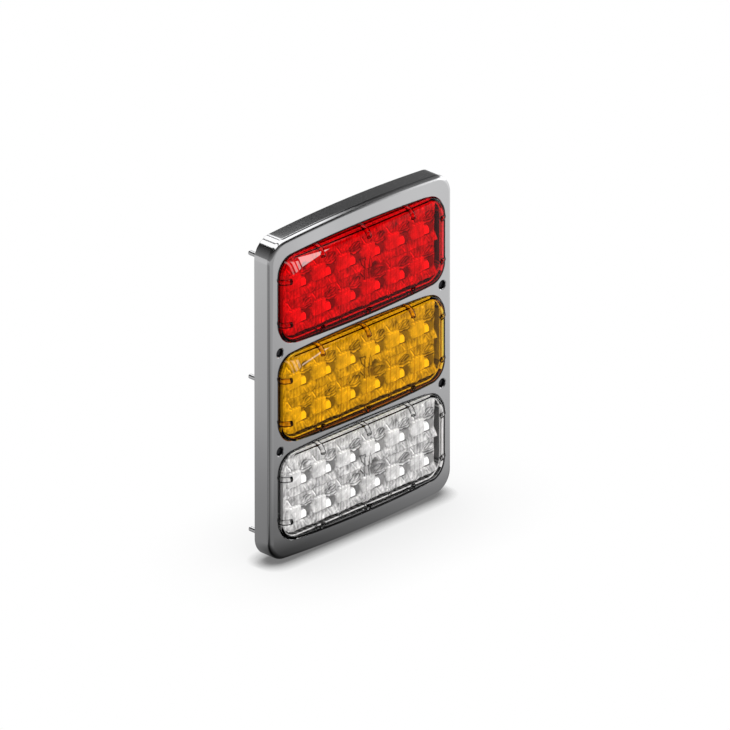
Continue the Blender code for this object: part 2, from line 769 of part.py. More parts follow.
# ---------------------------------------------------------------- flying leads
WIRE_TOP = 0.0028
BEND_START = -0.0075
BEND_R = 0.0071  # for a wire level with the outlet's centre; higher wires bend tighter
BEND_STEPS = 4
BEND_SPREAD = 0.9  # sideways spread over the bend, as a multiple of the wire's x offset
TAIL, TAIL_GROWTH = 0.020, 0.004  # tail length of the first wire, and what each later one adds
# after the bend: share of the tail length, spread in all, height above the bend's end
TAIL_STATIONS = ((0.5, 1.4, 0.0004), (1.0, 2.5, 0.0018))


def wire_path(x, y, dx, dy, tail):
    """Path of the wire that leaves the outlet at (x, y), offset (dx, dy) from its centre."""
    bend_r = BEND_R - dy
    path = [(x, y, WIRE_TOP), (x, y, BEND_START)]
    for angle in steps(0.0, QUARTER_TURN, BEND_STEPS)[1:]:
        path.append(
            (
                x + dx * BEND_SPREAD * math.sin(angle),
                y - bend_r * (1 - math.cos(angle)),
                BEND_START - bend_r * math.sin(angle),
            )
        )
    for share, spread, rise in TAIL_STATIONS:
        path.append((x + dx * spread, y - bend_r - share * tail, BEND_START - bend_r + rise))
    return path


def build_wires(colour, lamp_y, shades, offsets):
    """Out through the grommet, over a bend and down behind the lamp."""
    for i, (shade, (dx, dy)) in enumerate(zip(shades, offsets)):
        path = wire_path(OUTLET_X + dx, lamp_y + dy, dx, dy, TAIL + TAIL_GROWTH * i)
        add_object(f"{colour}_lamp_wire_{shade}", tube(path, WIRE_R), WIRE_FINISHES[shade])


def build_lamp(colour, lamp_y, shades):
    offsets = WIRE_OFFSETS[len(shades)]
    build_lens(colour, lamp_y)
    build_seal(colour, lamp_y)
    build_housing(colour, lamp_y)
    build_board(colour, lamp_y)
    build_optic(colour, lamp_y)
    build_lamp_screws(colour, lamp_y)
    build_grommet(colour, lamp_y, offsets)
    build_wires(colour, lamp_y, shades, offsets)


# ---------------------------------------------------------------- bezel screws and studs
FRONT_SCREW_SEAT = COUNTERBORE_FLOOR + CLEAR
FRONT_SCREW_TIP = -0.0055
STUD_TIP, STUD_TOP = -0.0091, 0.0097
STUD_CHAMFER = 0.0006


def build_bezel_screws():
    for i, (x, y) in enumerate(FRONT_SCREWS, 1):
        screw(
            f"bezel_screw_{i}",
            (x, y, FRONT_SCREW_SEAT),
            head_r=0.0033,
            head_h=0.0024,
            shank_r=STUD_R,
            length=FRONT_SCREW_SEAT - FRONT_SCREW_TIP,
            material=BLACK_ZINC,
        )


def build_studs():
    """Plain studs that stick out behind, chamfered at the rear end."""
    profile = (
        (0.0, STUD_TOP),
        (STUD_R, STUD_TOP),
        (STUD_R, STUD_TIP + STUD_CHAMFER),
        (STUD_R - STUD_CHAMFER, STUD_TIP),
        (0.0, STUD_TIP),
    )
    for i, (x, y) in enumerate(STUDS, 1):
        turned(f"rear_stud_{i}", profile, (x, y, 0.0), ZINC, segments=12)


# ---------------------------------------------------------------- build
build_bezel()
build_gasket()
for lamp in LAMPS:
    build_lamp(*lamp)
build_bezel_screws()
build_studs()
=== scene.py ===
"""Looks for the three-lamp trailer tail light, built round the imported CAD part.

Shapes are drawn in plan coordinates (x to the right, y up the face, h the height over the rear plane)
and stood up at the end, so plan (x, y, h) is world (x, -h, y). Metres.
"""

import math

import bmesh
import bpy
import numpy as np
from mathutils import Matrix, Vector


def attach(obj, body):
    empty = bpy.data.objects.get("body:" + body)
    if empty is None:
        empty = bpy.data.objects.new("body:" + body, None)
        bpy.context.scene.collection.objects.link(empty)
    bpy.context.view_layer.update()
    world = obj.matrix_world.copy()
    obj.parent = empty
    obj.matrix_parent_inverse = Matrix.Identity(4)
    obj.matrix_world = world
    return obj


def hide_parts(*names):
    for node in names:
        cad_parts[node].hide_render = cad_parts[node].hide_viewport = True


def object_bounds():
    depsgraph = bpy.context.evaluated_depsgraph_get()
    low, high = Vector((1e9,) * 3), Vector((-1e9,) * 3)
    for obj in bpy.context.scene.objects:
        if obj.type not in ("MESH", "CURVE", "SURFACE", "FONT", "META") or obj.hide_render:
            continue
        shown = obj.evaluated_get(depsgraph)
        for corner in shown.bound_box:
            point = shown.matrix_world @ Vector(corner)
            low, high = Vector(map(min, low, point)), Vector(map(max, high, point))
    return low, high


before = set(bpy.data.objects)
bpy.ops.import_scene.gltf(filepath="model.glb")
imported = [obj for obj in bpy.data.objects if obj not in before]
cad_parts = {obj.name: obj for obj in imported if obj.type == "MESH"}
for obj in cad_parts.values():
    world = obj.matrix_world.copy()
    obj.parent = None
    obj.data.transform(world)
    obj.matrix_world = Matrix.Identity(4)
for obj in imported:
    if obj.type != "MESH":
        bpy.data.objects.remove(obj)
CAD_LOW, CAD_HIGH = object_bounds()
STAND = Matrix.Rotation(math.pi / 2, 4, "X")
MM = 0.001

# ---------------------------------------------------------------- sizes taken over from the CAD part (mm)
BEZEL = dict(half_w=101.0, half_h=141.0, corner_r=18.0, bow_r=1265.0)
FACE, REAR, EDGE_R, WALL, SKIN = 20.0, 2.0, 4.0, 2.5, 3.0
PITCH = 85.3
LAMPS = (("red", 1), ("amber", 0), ("clear", -1))
LENS = dict(half_w=90.5, half_h=38.2, corner_r=17.0, bow_r=3300.0)
SHOULDER_R, LENS_WALL = 4.0, 2.2
FLANGE_LOW, FLANGE_TOP = 14.7, 16.7
RIB_R = 2.4
COLUMN_PITCH, ROW_PITCH = 27.25, 30.1
CUP_LOW, CUP_TOP = 6.4, 22.5
STUD_X, STUD_Y = 95.0, (121.9, 15.2, -117.1)
SCREW_X, SCREW_Y = 90.0, 42.65
OUTLET_X = 45.0
EARS = ((30.0, 42.5), (-30.0, 42.5), (60.0, -42.5), (-60.0, -42.5))


# ---------------------------------------------------------------- shape helpers
def steps(start, end, count):
    return [start + (end - start) * i / count for i in range(count + 1)]


def outline(half_w, half_h, corner_r, bow_r=None, corner_steps=14, edge_steps=14):
    """Counter-clockwise rounded rectangle, half_h high at its middle, its long edges arcs of bow_r."""
    xc = half_w - corner_r
    if bow_r:
        lean = math.asin(xc / (bow_r - corner_r))
        yc = half_h - bow_r + (bow_r - corner_r) * math.cos(lean)
        edge = [
            (bow_r * math.sin(t), half_h - bow_r + bow_r * math.cos(t))
            for t in steps(lean, 0.0, edge_steps)
        ]
    else:
        lean = 0.0
        yc = half_h - corner_r
        edge = [(x, half_h) for x in steps(xc, 0.0, edge_steps)]
    corner = [
        (xc + corner_r * math.cos(a), yc + corner_r * math.sin(a))
        for a in steps(0.0, math.pi / 2 - lean, corner_steps)
    ]
    quarter = corner + edge[1:]
    top = quarter + [(-x, y) for x, y in reversed(quarter[:-1])]
    return top + [(x, -y) for x, y in reversed(top)]


def grown(shape, grow, corner_steps=14, edge_steps=14):
    return outline(
        shape["half_w"] + grow,
        shape["half_h"] + grow,
        shape["corner_r"] + grow,
        shape["bow_r"] + grow if shape.get("bow_r") else None,
        corner_steps,
        edge_steps,
    )


def ring_at(points, h, cx=0.0, cy=0.0):
    return [(x + cx, y + cy, h) for x, y in points]


def circle(r, count, cx=0.0, cy=0.0, turn=0.0):
    return [
        (cx + r * math.cos(2 * math.pi * (i + turn) / count), cy + r * math.sin(2 * math.pi * (i + turn) / count))
        for i in range(count)
    ]


def loft(work, rings, cap_low="ngon", cap_high="ngon", index=0):
    """Adds a skin through rings of equal count to a bmesh. A cap is ngon, ladder, or None."""
    count = len(rings[0])
    levels = [[work.verts.new(p) for p in ring] for ring in rings]
    made = []
    for low, high in zip(levels, levels[1:]):
        for i in range(count):
            j = (i + 1) % count
            made.append(work.faces.new((low[i], low[j], high[j], high[i])))
    for level, cap, flip in ((levels[0], cap_low, True), (levels[-1], cap_high, False)):
        if cap == "ngon":
            made.append(work.faces.new(list(reversed(level)) if flip else level))
        elif cap == "ladder":
            for i in range(count // 2 - 1):
                quad = [level[i], level[i + 1], level[count - 2 - i], level[count - 1 - i]]
                made.append(work.faces.new(list(reversed(quad)) if flip else quad))
    for face in made:
        face.material_index = index
    return made


def turned(work, profile, segments=32, cx=0.0, cy=0.0, index=0, radial=None):
    """Adds a turned solid: profile is (r, h) from the axis round the outside and back to the axis."""
    levels = []
    for k, (r, h) in enumerate(profile):
        if r < 1e-6:
            levels.append([work.verts.new((cx, cy, h))])
            continue
        ring = []
        for i in range(segments):
            a = 2 * math.pi * i / segments
            rr, hh = (r, h) if radial is None else radial(r, h, a, k)
            ring.append(work.verts.new((cx + rr * math.cos(a), cy + rr * math.sin(a), hh)))
        levels.append(ring)
    made = []
    for low, high in zip(levels, levels[1:]):
        if len(low) == 1 and len(high) == 1:
            continue
        for i in range(segments):
            j = (i + 1) % segments
            if len(low) == 1:
                made.append(work.faces.new((low[0], high[j], high[i])))
            elif len(high) == 1:
                made.append(work.faces.new((low[i], low[j], high[0])))
            else:
                made.append(work.faces.new((low[i], low[j], high[j], high[i])))
    for face in made:
        face.material_index = index
    return made


def tube(work, path, radius, segments=16, index=0, chamfer=0.0):
    """Adds a round bar along a path, radius a number or one per point."""
    pts = [Vector(p) for p in path]
    radii = radius if isinstance(radius, (list, tuple)) else [radius] * len(pts)
    if chamfer:
        first, last = (pts[1] - pts[0]).normalized(), (pts[-1] - pts[-2]).normalized()
        pts = [pts[0], pts[0] + first * chamfer] + pts[1:-1] + [pts[-1] - last * chamfer, pts[-1]]
        radii = [radii[0] - chamfer, radii[0]] + list(radii[1:-1]) + [radii[-1], radii[-1] - chamfer]
    tangents = []
    for i in range(len(pts)):
        a, b = pts[max(i - 1, 0)], pts[min(i + 1, len(pts) - 1)]
        tangents.append((b - a).normalized())
    side = tangents[0].orthogonal().normalized()
    rings = []
    for p, t, r in zip(pts, tangents, radii):
        side = (side - t * side.dot(t)).normalized()
        up = t.cross(side)
        rings.append(
            [
                tuple(p + side * (r * math.cos(2 * math.pi * i / segments)) + up * (r * math.sin(2 * math.pi * i / segments)))
                for i in range(segments)
            ]
        )
    return loft(work, rings, index=index)


def block(work, x, y, low, high, width, depth, index=0, bevel=0.0, turn=0.0):
    got = bmesh.ops.create_cube(
        work,
        size=1.0,
        matrix=Matrix.Translation((x, y, 0.5 * (low + high)))
        @ Matrix.Rotation(turn, 4, "Z")
        @ Matrix.Diagonal((width, depth, high - low, 1.0)),
    )
    faces = list({f for v in got["verts"] for f in v.link_faces})
    for face in faces:
        face.material_index = index
    if bevel:
        edges = list({e for v in got["verts"] for e in v.link_edges})
        bmesh.ops.bevel(work, geom=edges, offset=bevel, segments=2, profile=0.5, affect="EDGES", clamp_overlap=True)


def mesh_of(work, name, recalc=True):
    """The bmesh (millimetres, plan) as a mesh in metres, still lying in plan."""
    if recalc:
        bmesh.ops.recalc_face_normals(work, faces=work.faces)
    mesh = bpy.data.meshes.new(name)
    work.to_mesh(mesh)
    work.free()
    mesh.transform(Matrix.Scale(MM, 4))
    return mesh


def slab(name, outlines, low, high):
    """A flat plate between two heights. The first outline is its edge and any others are holes in it."""
    curve = bpy.data.curves.new(name, "CURVE")
    curve.dimensions = "2D"
    curve.fill_mode = "BOTH"
    curve.extrude = 0.5 * (high - low) * MM
    for points in outlines:
        spline = curve.splines.new("POLY")
        spline.points.add(len(points) - 1)
        for point, (x, y) in zip(spline.points, points):
            point.co = (x * MM, y * MM, 0.0, 1.0)
        spline.use_cyclic_u = True
    holder = bpy.data.objects.new(name + "_curve", curve)
    bpy.context.scene.collection.objects.link(holder)
    bpy.context.view_layer.update()
    graph = bpy.context.evaluated_depsgraph_get()
    mesh = bpy.data.meshes.new_from_object(holder.evaluated_get(graph))
    bpy.data.objects.remove(holder, do_unlink=True)
    bpy.data.curves.remove(curve)
    work = bmesh.new()
    work.from_mesh(mesh)
    bmesh.ops.remove_doubles(work, verts=work.verts, dist=1e-6)
    bmesh.ops.dissolve_degenerate(work, edges=work.edges, dist=1e-7)
    bmesh.ops.recalc_face_normals(work, faces=work.faces)
    work.to_mesh(mesh)
    work.free()
    mesh.name = name
    mesh.transform(Matrix.Translation((0.0, 0.0, 0.5 * (low + high) * MM)))
    return mesh


def pins(name, pieces, segments=32):
    """Upright cylinders or cones as one mesh: (x, y, low, high, low radius, high radius)."""
    work = bmesh.new()
    for x, y, low, high, r_low, r_high in pieces:
        loft(work, [ring_at(circle(r_low, segments), low, x, y), ring_at(circle(r_high, segments), high, x, y)])
    return mesh_of(work, name)


def carved(name, base, *operations):
    """A mesh after a chain of exact Booleans, each ("DIFFERENCE" or "UNION", mesh)."""
    holder = bpy.data.objects.new(name, base)
    bpy.context.scene.collection.objects.link(holder)
    helpers = []
    for i, (operation, mesh) in enumerate(operations):
        helper = bpy.data.objects.new(f"{name}_helper_{i}", mesh)
        bpy.context.scene.collection.objects.link(helper)
        helpers.append(helper)
        modifier = holder.modifiers.new(f"step_{i}", "BOOLEAN")
        modifier.operation = operation
        modifier.solver = "EXACT"
        modifier.object = helper
    weld = holder.modifiers.new("weld", "WELD")
    weld.merge_threshold = 0.000004
    bpy.context.view_layer.update()
    graph = bpy.context.evaluated_depsgraph_get()
    mesh = bpy.data.meshes.new_from_object(holder.evaluated_get(graph))
    mesh.name = name
    for helper in helpers + [holder]:
        old = helper.data
        bpy.data.objects.remove(helper, do_unlink=True)
        bpy.data.meshes.remove(old)
    return mesh


def add(name, mesh, materials, stands_for=(), sharp=32.0, weighted=True, smooth=True):
    """Stands the mesh up, makes it a piece that rides with the lamp, and gives it its materials."""
    mesh.transform(STAND)
    mesh.materials.clear()
    for made in materials:
        mesh.materials.append(made)
    if smooth:
        mesh.shade_smooth()
        mesh.set_sharp_from_angle(angle=math.radians(sharp))
    else:
        mesh.shade_flat()
    piece = bpy.data.objects.new(name, mesh)
    bpy.context.scene.collection.objects.link(piece)
    if smooth and weighted:
        keep = piece.modifiers.new("even_normals", "WEIGHTED_NORMAL")
        keep.keep_sharp = True
        keep.weight = 80
    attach(piece, "root")
    if stands_for:
        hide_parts(*stands_for)
    return piece


# ---------------------------------------------------------------- node helpers
class Nodes:
    """Short way to wire a node tree."""

    def __init__(self, tree):
        self.tree = tree

    def make(self, kind, **settings):
        node = self.tree.nodes.new(kind)
        inputs = settings.pop("inputs", {})
        for key, value in settings.items():
            setattr(node, key, value)
        for key, value in inputs.items():
            self.put(node.inputs[key], value)
        return node

    def put(self, socket, value):
        if isinstance(value, bpy.types.NodeSocket):
            self.tree.links.new(value, socket)
        elif isinstance(value, bpy.types.Node):
            self.tree.links.new(value.outputs[0], socket)
        else:
            if socket.type == "RGBA" and isinstance(value, tuple) and len(value) == 3:
                value = (*value, 1.0)
            socket.default_value = value

    def math(self, operation, a, b=None, c=None, clamp=False):
        node = self.tree.nodes.new("ShaderNodeMath")
        node.operation = operation
        node.use_clamp = clamp
        for i, value in enumerate((a, b, c)):
            if value is not None:
                self.put(node.inputs[i], value)
        return node.outputs[0]

    def dot(self, vector, axis):
        node = self.tree.nodes.new("ShaderNodeVectorMath")
        node.operation = "DOT_PRODUCT"
        self.put(node.inputs[0], vector)
        node.inputs[1].default_value = axis
        return node.outputs["Value"]

    def span(self, value, from_min, from_max, to_min=0.0, to_max=1.0, kind="SMOOTHSTEP"):
        node = self.tree.nodes.new("ShaderNodeMapRange")
        node.interpolation_type = kind
        self.put(node.inputs["Value"], value)
        self.put(node.inputs["From Min"], from_min)
        self.put(node.inputs["From Max"], from_max)
        self.put(node.inputs["To Min"], to_min)
        self.put(node.inputs["To Max"], to_max)
        return node.outputs["Result"]

    def mix_colour(self, fac, a, b, blend="MIX"):
        node = self.tree.nodes.new("ShaderNodeMix")
        node.data_type = "RGBA"
        node.blend_type = blend
        self.put(node.inputs[0], fac)
        self.put(node.inputs[6], a)
        self.put(node.inputs[7], b)
        return node.outputs[2]

    def noise(self, scale, detail=3.0, rough=0.5, vector=None):
        node = self.tree.nodes.new("ShaderNodeTexNoise")
        node.inputs["Scale"].default_value = scale
        node.inputs["Detail"].default_value = detail
        node.inputs["Roughness"].default_value = rough
        if vector is None:
            vector = self.tree.nodes.new("ShaderNodeTexCoord").outputs["Object"]
        self.put(node.inputs["Vector"], vector)
        return node.outputs[0]


def material(name, colour, metallic=0.0, roughness=0.5, **more):
    """A Principled material with colour and roughness broken up by noise, and a fine bump."""
    made = bpy.data.materials.new(name)
    made.use_nodes = True
    n = Nodes(made.node_tree)
    shader = made.node_tree.nodes["Principled BSDF"]
    shader.inputs["Metallic"].default_value = metallic
    for key, value in more.get("inputs", {}).items():
        n.put(shader.inputs[key], value)
    grain = n.noise(more.get("scale", 60.0), 4.0, 0.55)
    vary = more.get("vary", 0.12)
    darker = tuple(c * (1.0 - vary) for c in colour)
    lighter = tuple(min(c * (1.0 + vary), 1.0) for c in colour)
    n.put(shader.inputs["Base Color"], n.mix_colour(n.span(grain, 0.3, 0.7), darker, lighter))
    fine = n.noise(more.get("fine", 900.0), 2.0, 0.6)
    wear = more.get("wear", 0.06)
    n.put(shader.inputs["Roughness"], n.span(grain, 0.25, 0.75, roughness - wear, roughness + wear))
    bump = made.node_tree.nodes.new("ShaderNodeBump")
    bump.inputs["Strength"].default_value = more.get("bump", 0.15)
    bump.inputs["Distance"].default_value = more.get("depth", 0.0001)
    n.put(bump.inputs["Height"], fine)
    n.put(shader.inputs["Normal"], bump)
    return made


def painted_corner_glint(n, centre, wedge_light, bar_light, depth):
    """A painted reflection of a strip light on the upper left corner of a lens, drawn as an emission: a tapering
    streak with short bars beside it, shown only to camera rays from in front and above on the left."""
    place = n.make("ShaderNodeSeparateXYZ", inputs={0: n.make("ShaderNodeTexCoord").outputs["Object"]})
    u = n.math("MULTIPLY", place.outputs["X"], 1000.0)
    v = n.math("SUBTRACT", n.math("MULTIPLY", place.outputs["Z"], 1000.0), centre)
    out_front = n.math("MULTIPLY", place.outputs["Y"], -1000.0)
    s = n.math("ADD", u, n.math("MULTIPLY", v, 0.33))
    from_corner = n.math("ADD", u, 71.7)
    foot = n.math("ADD", 28.5, n.math("MINIMUM", n.math("MULTIPLY", from_corner, 0.21), n.math("MULTIPLY", from_corner, 0.45)))
    head = n.math("SUBTRACT", 36.4, n.math("MULTIPLY", n.math("ADD", u, 76.1), 0.055))
    head = n.math("SUBTRACT", head, n.span(s, -63.2, -62.8, 2.1, 0.0))
    above = n.math("SUBTRACT", v, foot)
    inside = n.math(
        "MULTIPLY",
        n.span(n.math("SUBTRACT", v, foot), -0.25, 0.25),
        n.span(n.math("SUBTRACT", head, v), -0.2, 0.2),
    )
    wedge = n.math("MULTIPLY", n.span(s, -63.2, -62.8), n.span(above, depth - 0.4, depth + 0.4, wedge_light, 0.0))
    bars = 0.0
    for low, high, level in ((-66.9, -64.5, 1.0), (-70.6, -68.3, 0.8), (-73.7, -72.3, 0.4)):
        bar = n.math("MULTIPLY", n.span(s, low - 0.25, low + 0.25), n.span(s, high - 0.25, high + 0.25, 1.0, 0.0))
        bars = n.math("ADD", bars, n.math("MULTIPLY", bar, level * bar_light))
    seen = n.make("ShaderNodeNewGeometry")
    toward = n.span(n.dot(seen.outputs["Incoming"], (-0.6409, -0.6409, 0.4226)), 0.92, 0.985)
    front = n.math("MULTIPLY", n.span(out_front, 18.0, 19.0), n.math("SUBTRACT", 1.0, seen.outputs["Backfacing"]))
    path = n.make("ShaderNodeLightPath").outputs["Is Camera Ray"]
    streak = n.noise(30.0, 2.0, 0.5)
    level = n.math("MULTIPLY", n.math("ADD", wedge, bars), n.span(streak, 0.3, 0.7, 0.82, 1.0))
    for value in (inside, toward, front, path):
        level = n.math("MULTIPLY", level, value)
    return n.make("ShaderNodeEmission", inputs={"Color": (1.0, 0.97, 0.95, 1.0), "Strength": level}).outputs[0]


def clear_material(name, tint, light_tint, gloss=0.028, dark_edge=0.0, roughness=0.0, ior=1.49, painted_glint=None):
    """Moulded clear plastic. It refracts what the camera sees through it, mirrors a little on its outer side,
    and lets light pass straight in. Steep edges go dark, as thick plastic does."""
    made = bpy.data.materials.new(name)
    made.use_nodes = True
    tree = made.node_tree
    n = Nodes(tree)
    tree.nodes.remove(tree.nodes["Principled BSDF"])
    flow = n.noise(35.0, 2.0, 0.5)
    per_side = tuple(math.sqrt(c) for c in tint)
    deeper = tuple(c * 0.985 for c in per_side)
    colour = n.mix_colour(n.span(flow, 0.3, 0.7), deeper, per_side)
    facing = n.make("ShaderNodeLayerWeight", inputs={"Blend": 0.5}).outputs["Facing"]
    if dark_edge > 0.0:
        colour = n.mix_colour(n.span(facing, 0.22, 0.72, 0.0, dark_edge), colour, tuple(0.02 * c for c in per_side))
    refracted = n.make("ShaderNodeBsdfRefraction", inputs={"Color": colour, "Roughness": roughness, "IOR": ior})
    mirrored = n.make("ShaderNodeBsdfAnisotropic", inputs={"Color": (1.0, 1.0, 1.0), "Roughness": 0.0})
    steep = n.math("POWER", facing, 4.0)
    share = n.math("ADD", n.math("MULTIPLY", steep, 0.3), gloss)
    outer = n.math("SUBTRACT", 1.0, n.make("ShaderNodeNewGeometry").outputs["Backfacing"])
    share = n.math("MULTIPLY", share, outer)
    body = n.make("ShaderNodeMixShader", inputs={0: share, 1: refracted, 2: mirrored}).outputs[0]
    # the painted reflection on the upper left corner, added as an emission
    if painted_glint is not None:
        body = n.make("ShaderNodeAddShader", inputs={0: body, 1: painted_corner_glint(n, *painted_glint)}).outputs[0]
    out = tree.nodes["Material Output"]
    path = tree.nodes.new("ShaderNodeLightPath")
    light = n.math("MAXIMUM", path.outputs["Is Shadow Ray"], path.outputs["Is Diffuse Ray"])
    through = n.make("ShaderNodeBsdfTransparent", inputs={"Color": light_tint})
    mix = n.make("ShaderNodeMixShader", inputs={0: light, 1: body, 2: through})
    n.put(out.inputs["Surface"], mix.outputs[0])
    return made


# ---------------------------------------------------------------- materials
CHROME = material("satin_chrome_plate", (0.80, 0.80, 0.81), 1.0, 0.105, vary=0.02, wear=0.015, scale=9.0, bump=0.03, fine=2500.0, depth=0.00003)
FOAM = material("closed_cell_foam", (0.022, 0.022, 0.023), 0.0, 0.93, scale=160.0, bump=0.9, fine=1400.0, depth=0.0003)
HOUSING = material("black_housing_plastic", (0.028, 0.028, 0.03), 0.0, 0.42, scale=40.0, bump=0.35, fine=2200.0, depth=0.0001)
SILICONE = material("silicone_seal", (0.06, 0.06, 0.065), 0.0, 0.6, scale=90.0)
BOARD = material("white_solder_mask", (0.86, 0.87, 0.86), 0.0, 0.35, vary=0.03, scale=120.0, bump=0.1)
n = Nodes(BOARD.node_tree)
spread = n.make("ShaderNodeSeparateXYZ", inputs={0: n.make("ShaderNodeTexCoord").outputs["Generated"]})
margin = n.math(
    "MAXIMUM",
    n.math("ABSOLUTE", n.math("SUBTRACT", spread.outputs["X"], 0.5)),
    n.math("ABSOLUTE", n.math("SUBTRACT", spread.outputs["Z"], 0.5)),
)
shader = BOARD.node_tree.nodes["Principled BSDF"]
white = shader.inputs["Base Color"].links[0].from_socket
n.put(shader.inputs["Base Color"], n.mix_colour(n.span(margin, 0.36, 0.37), white, (0.085, 0.085, 0.082)))
PACKAGE = material("led_package", (0.9, 0.89, 0.84), 0.0, 0.3, vary=0.03)
PHOSPHOR = material("led_window", (0.93, 0.87, 0.55), 0.0, 0.25, vary=0.04)
RUBBER = material("grommet_rubber", (0.016, 0.016, 0.017), 0.0, 0.72, scale=120.0, bump=0.4)
ZINC = material("zinc_plated_steel", (0.66, 0.67, 0.68), 1.0, 0.26, vary=0.08, wear=0.08, scale=240.0, bump=0.12)
TINNED = material("tinned_strand", (0.74, 0.70, 0.64), 1.0, 0.30, vary=0.12, scale=400.0, bump=0.1)
BLACK_ZINC = material("black_zinc_steel", (0.06, 0.06, 0.065), 1.0, 0.32, vary=0.15, wear=0.07, scale=260.0, bump=0.12)
PIN = material("polished_stud", (0.82, 0.82, 0.83), 1.0, 0.14, vary=0.04, wear=0.03, scale=300.0, bump=0.06)
TINTS = {
    "red": ((0.95, 0.006, 0.012), (0.98, 0.5, 0.5)),
    "amber": ((0.97, 0.52, 0.012), (1.0, 0.95, 0.6)),
    "clear": ((0.97, 0.97, 0.97), (0.99, 0.99, 0.99)),
}
GLOSS = {"red": 0.014, "amber": 0.014, "clear": 0.014}
# levels of the painted corner reflection for each lens: streak, bars, and how far the streak reaches above its lower
# edge
PAINTED_GLINTS = {"red": (0.42, 0.34, 40.0), "amber": (0.34, 0.17, 1.2), "clear": (0.12, 0.07, 1.0)}
LENSES = {
    colour: clear_material(colour + "_lens_plastic", *TINTS[colour], gloss=GLOSS[colour], painted_glint=(place * PITCH, *PAINTED_GLINTS[colour]))
    for colour, place in LAMPS
}
# dark tint for the painted shade along the lens ribs and in the rings at their ends
RIB_SHADES = {
    colour: material(
        colour + "_rib_shadow", tuple(0.045 * c for c in tint), 0.0, 0.12, vary=0.3, scale=300.0, bump=0.05
    )
    for colour, (tint, light) in TINTS.items()
}
RIBS = {
    colour: clear_material(colour + "_rib_plastic", tuple(c**0.35 for c in tint), light, gloss=0.02, dark_edge=0.96, ior=1.2)
    for colour, (tint, light) in TINTS.items()
}


def optic_material():
    """Frosted and polished facets of the moulded optic, drawn opaque: their lightness is painted light and shade,
    carried by the tone attribute, over a shallow moulded relief.
    """
    made = bpy.data.materials.new("moulded_optic")
    made.use_nodes = True
    n = Nodes(made.node_tree)
    shader = made.node_tree.nodes["Principled BSDF"]
    tone = made.node_tree.nodes.new("ShaderNodeAttribute")
    tone.attribute_name = "tone"
    grain = n.noise(420.0, 3.0, 0.6)
    level = n.math("MULTIPLY", tone.outputs["Fac"], n.span(grain, 0.25, 0.75, 0.93, 1.07))
    n.put(shader.inputs["Base Color"], n.mix_colour(level, (0.0, 0.0, 0.0), (1.0, 0.985, 0.98)))
    n.put(shader.inputs["Roughness"], n.span(grain, 0.3, 0.7, 0.10, 0.20))
    shader.inputs["IOR"].default_value = 1.55
    shader.inputs["Coat Weight"].default_value = 0.7
    shader.inputs["Coat Roughness"].default_value = 0.04
    bump = made.node_tree.nodes.new("ShaderNodeBump")
    bump.inputs["Strength"].default_value = 0.2
    bump.inputs["Distance"].default_value = 0.0003
    n.put(bump.inputs["Height"], n.noise(260.0, 3.0, 0.6))
    n.put(shader.inputs["Normal"], bump)
    return made


OPTIC = optic_material()
WIRES = {
    "black": material("black_wire_jacket", (0.02, 0.02, 0.02), 0.0, 0.42),
    "red": material("red_wire_jacket", (0.5, 0.02, 0.02), 0.0, 0.42),
    "brown": material("brown_wire_jacket", (0.17, 0.07, 0.03), 0.0, 0.42),
    "yellow": material("yellow_wire_jacket", (0.72, 0.5, 0.03), 0.0, 0.42),
    "white": material("white_wire_jacket", (0.78, 0.78, 0.75), 0.0, 0.42),
}
COPPER = material("tinned_copper", (0.78, 0.62, 0.5), 1.0, 0.3, vary=0.15, scale=500.0, bump=0.4, fine=5000.0)


# ---------------------------------------------------------------- bezel
def bezel_ring(inset, h, corner_steps=22, edge_steps=22):
    return ring_at(grown(BEZEL, -inset, corner_steps, edge_steps), h)


work = bmesh.new()
rings = [bezel_ring(0.5, REAR), bezel_ring(0.15, REAR + 0.15), bezel_ring(0.0, REAR + 0.5)]
for k in range(0, 11):
    a = 0.5 * math.pi * k / 10
    rings.append(bezel_ring(EDGE_R * (1 - math.cos(a)), FACE - EDGE_R + EDGE_R * math.sin(a)))
loft(work, rings)
body = mesh_of(work, "bezel_body")


def lens_ring(grow, h, cy, corner_steps=18, edge_steps=18):
    return ring_at(grown(LENS, grow, corner_steps, edge_steps), h, 0.0, cy)


LIP_R = 0.45
work = bmesh.new()
for _, place in LAMPS:
    cy = place * PITCH
    rings = [lens_ring(0.8, 10.0, cy), lens_ring(0.8, FACE - LIP_R, cy)]
    for k in range(1, 5):
        a = 0.5 * math.pi * k / 4
        rings.append(lens_ring(0.8 + LIP_R * (1 - math.cos(a)), FACE - LIP_R + LIP_R * math.sin(a), cy))
    rings.append(lens_ring(0.8 + LIP_R, 30.0, cy))
    loft(work, rings)
openings = mesh_of(work, "openings")

work = bmesh.new()
hollow = []
for inset, h in ((WALL, -10.0), (WALL, 15.5), (WALL + 0.45, 16.55), (WALL + 1.5, 17.0)):
    hollow.append(ring_at(grown(BEZEL, -inset, 14, 14), h))
loft(work, hollow)
hollow_mesh = mesh_of(work, "hollow")

lamp_screws = [(colour, place * PITCH, x, place * PITCH + y) for colour, place in LAMPS for x, y in EARS]
front_screws = [(x, y) for y in (SCREW_Y, -SCREW_Y) for x in (-SCREW_X, SCREW_X)]
studs = [(x, y) for y in STUD_Y for x in (-STUD_X, STUD_X)]

work = bmesh.new()
for x, y in front_screws:
    c = circle(1.0, 40)
    rings = [[(x + px * r, y + py * r, h) for px, py in c] for r, h in ((3.75, 15.0), (3.75, 19.5), (4.05, 19.82), (4.35, 20.02), (4.35, 30.0))]
    loft(work, rings)
counterbores = mesh_of(work, "counterbores")

work = bmesh.new()
for x, y in studs:
    reach = 99.5 - STUD_X
    block(work, math.copysign(STUD_X + 0.5 * reach, x), y, REAR + 0.5, 10.4, reach, 5.2)
roots = mesh_of(work, "stud_roots")

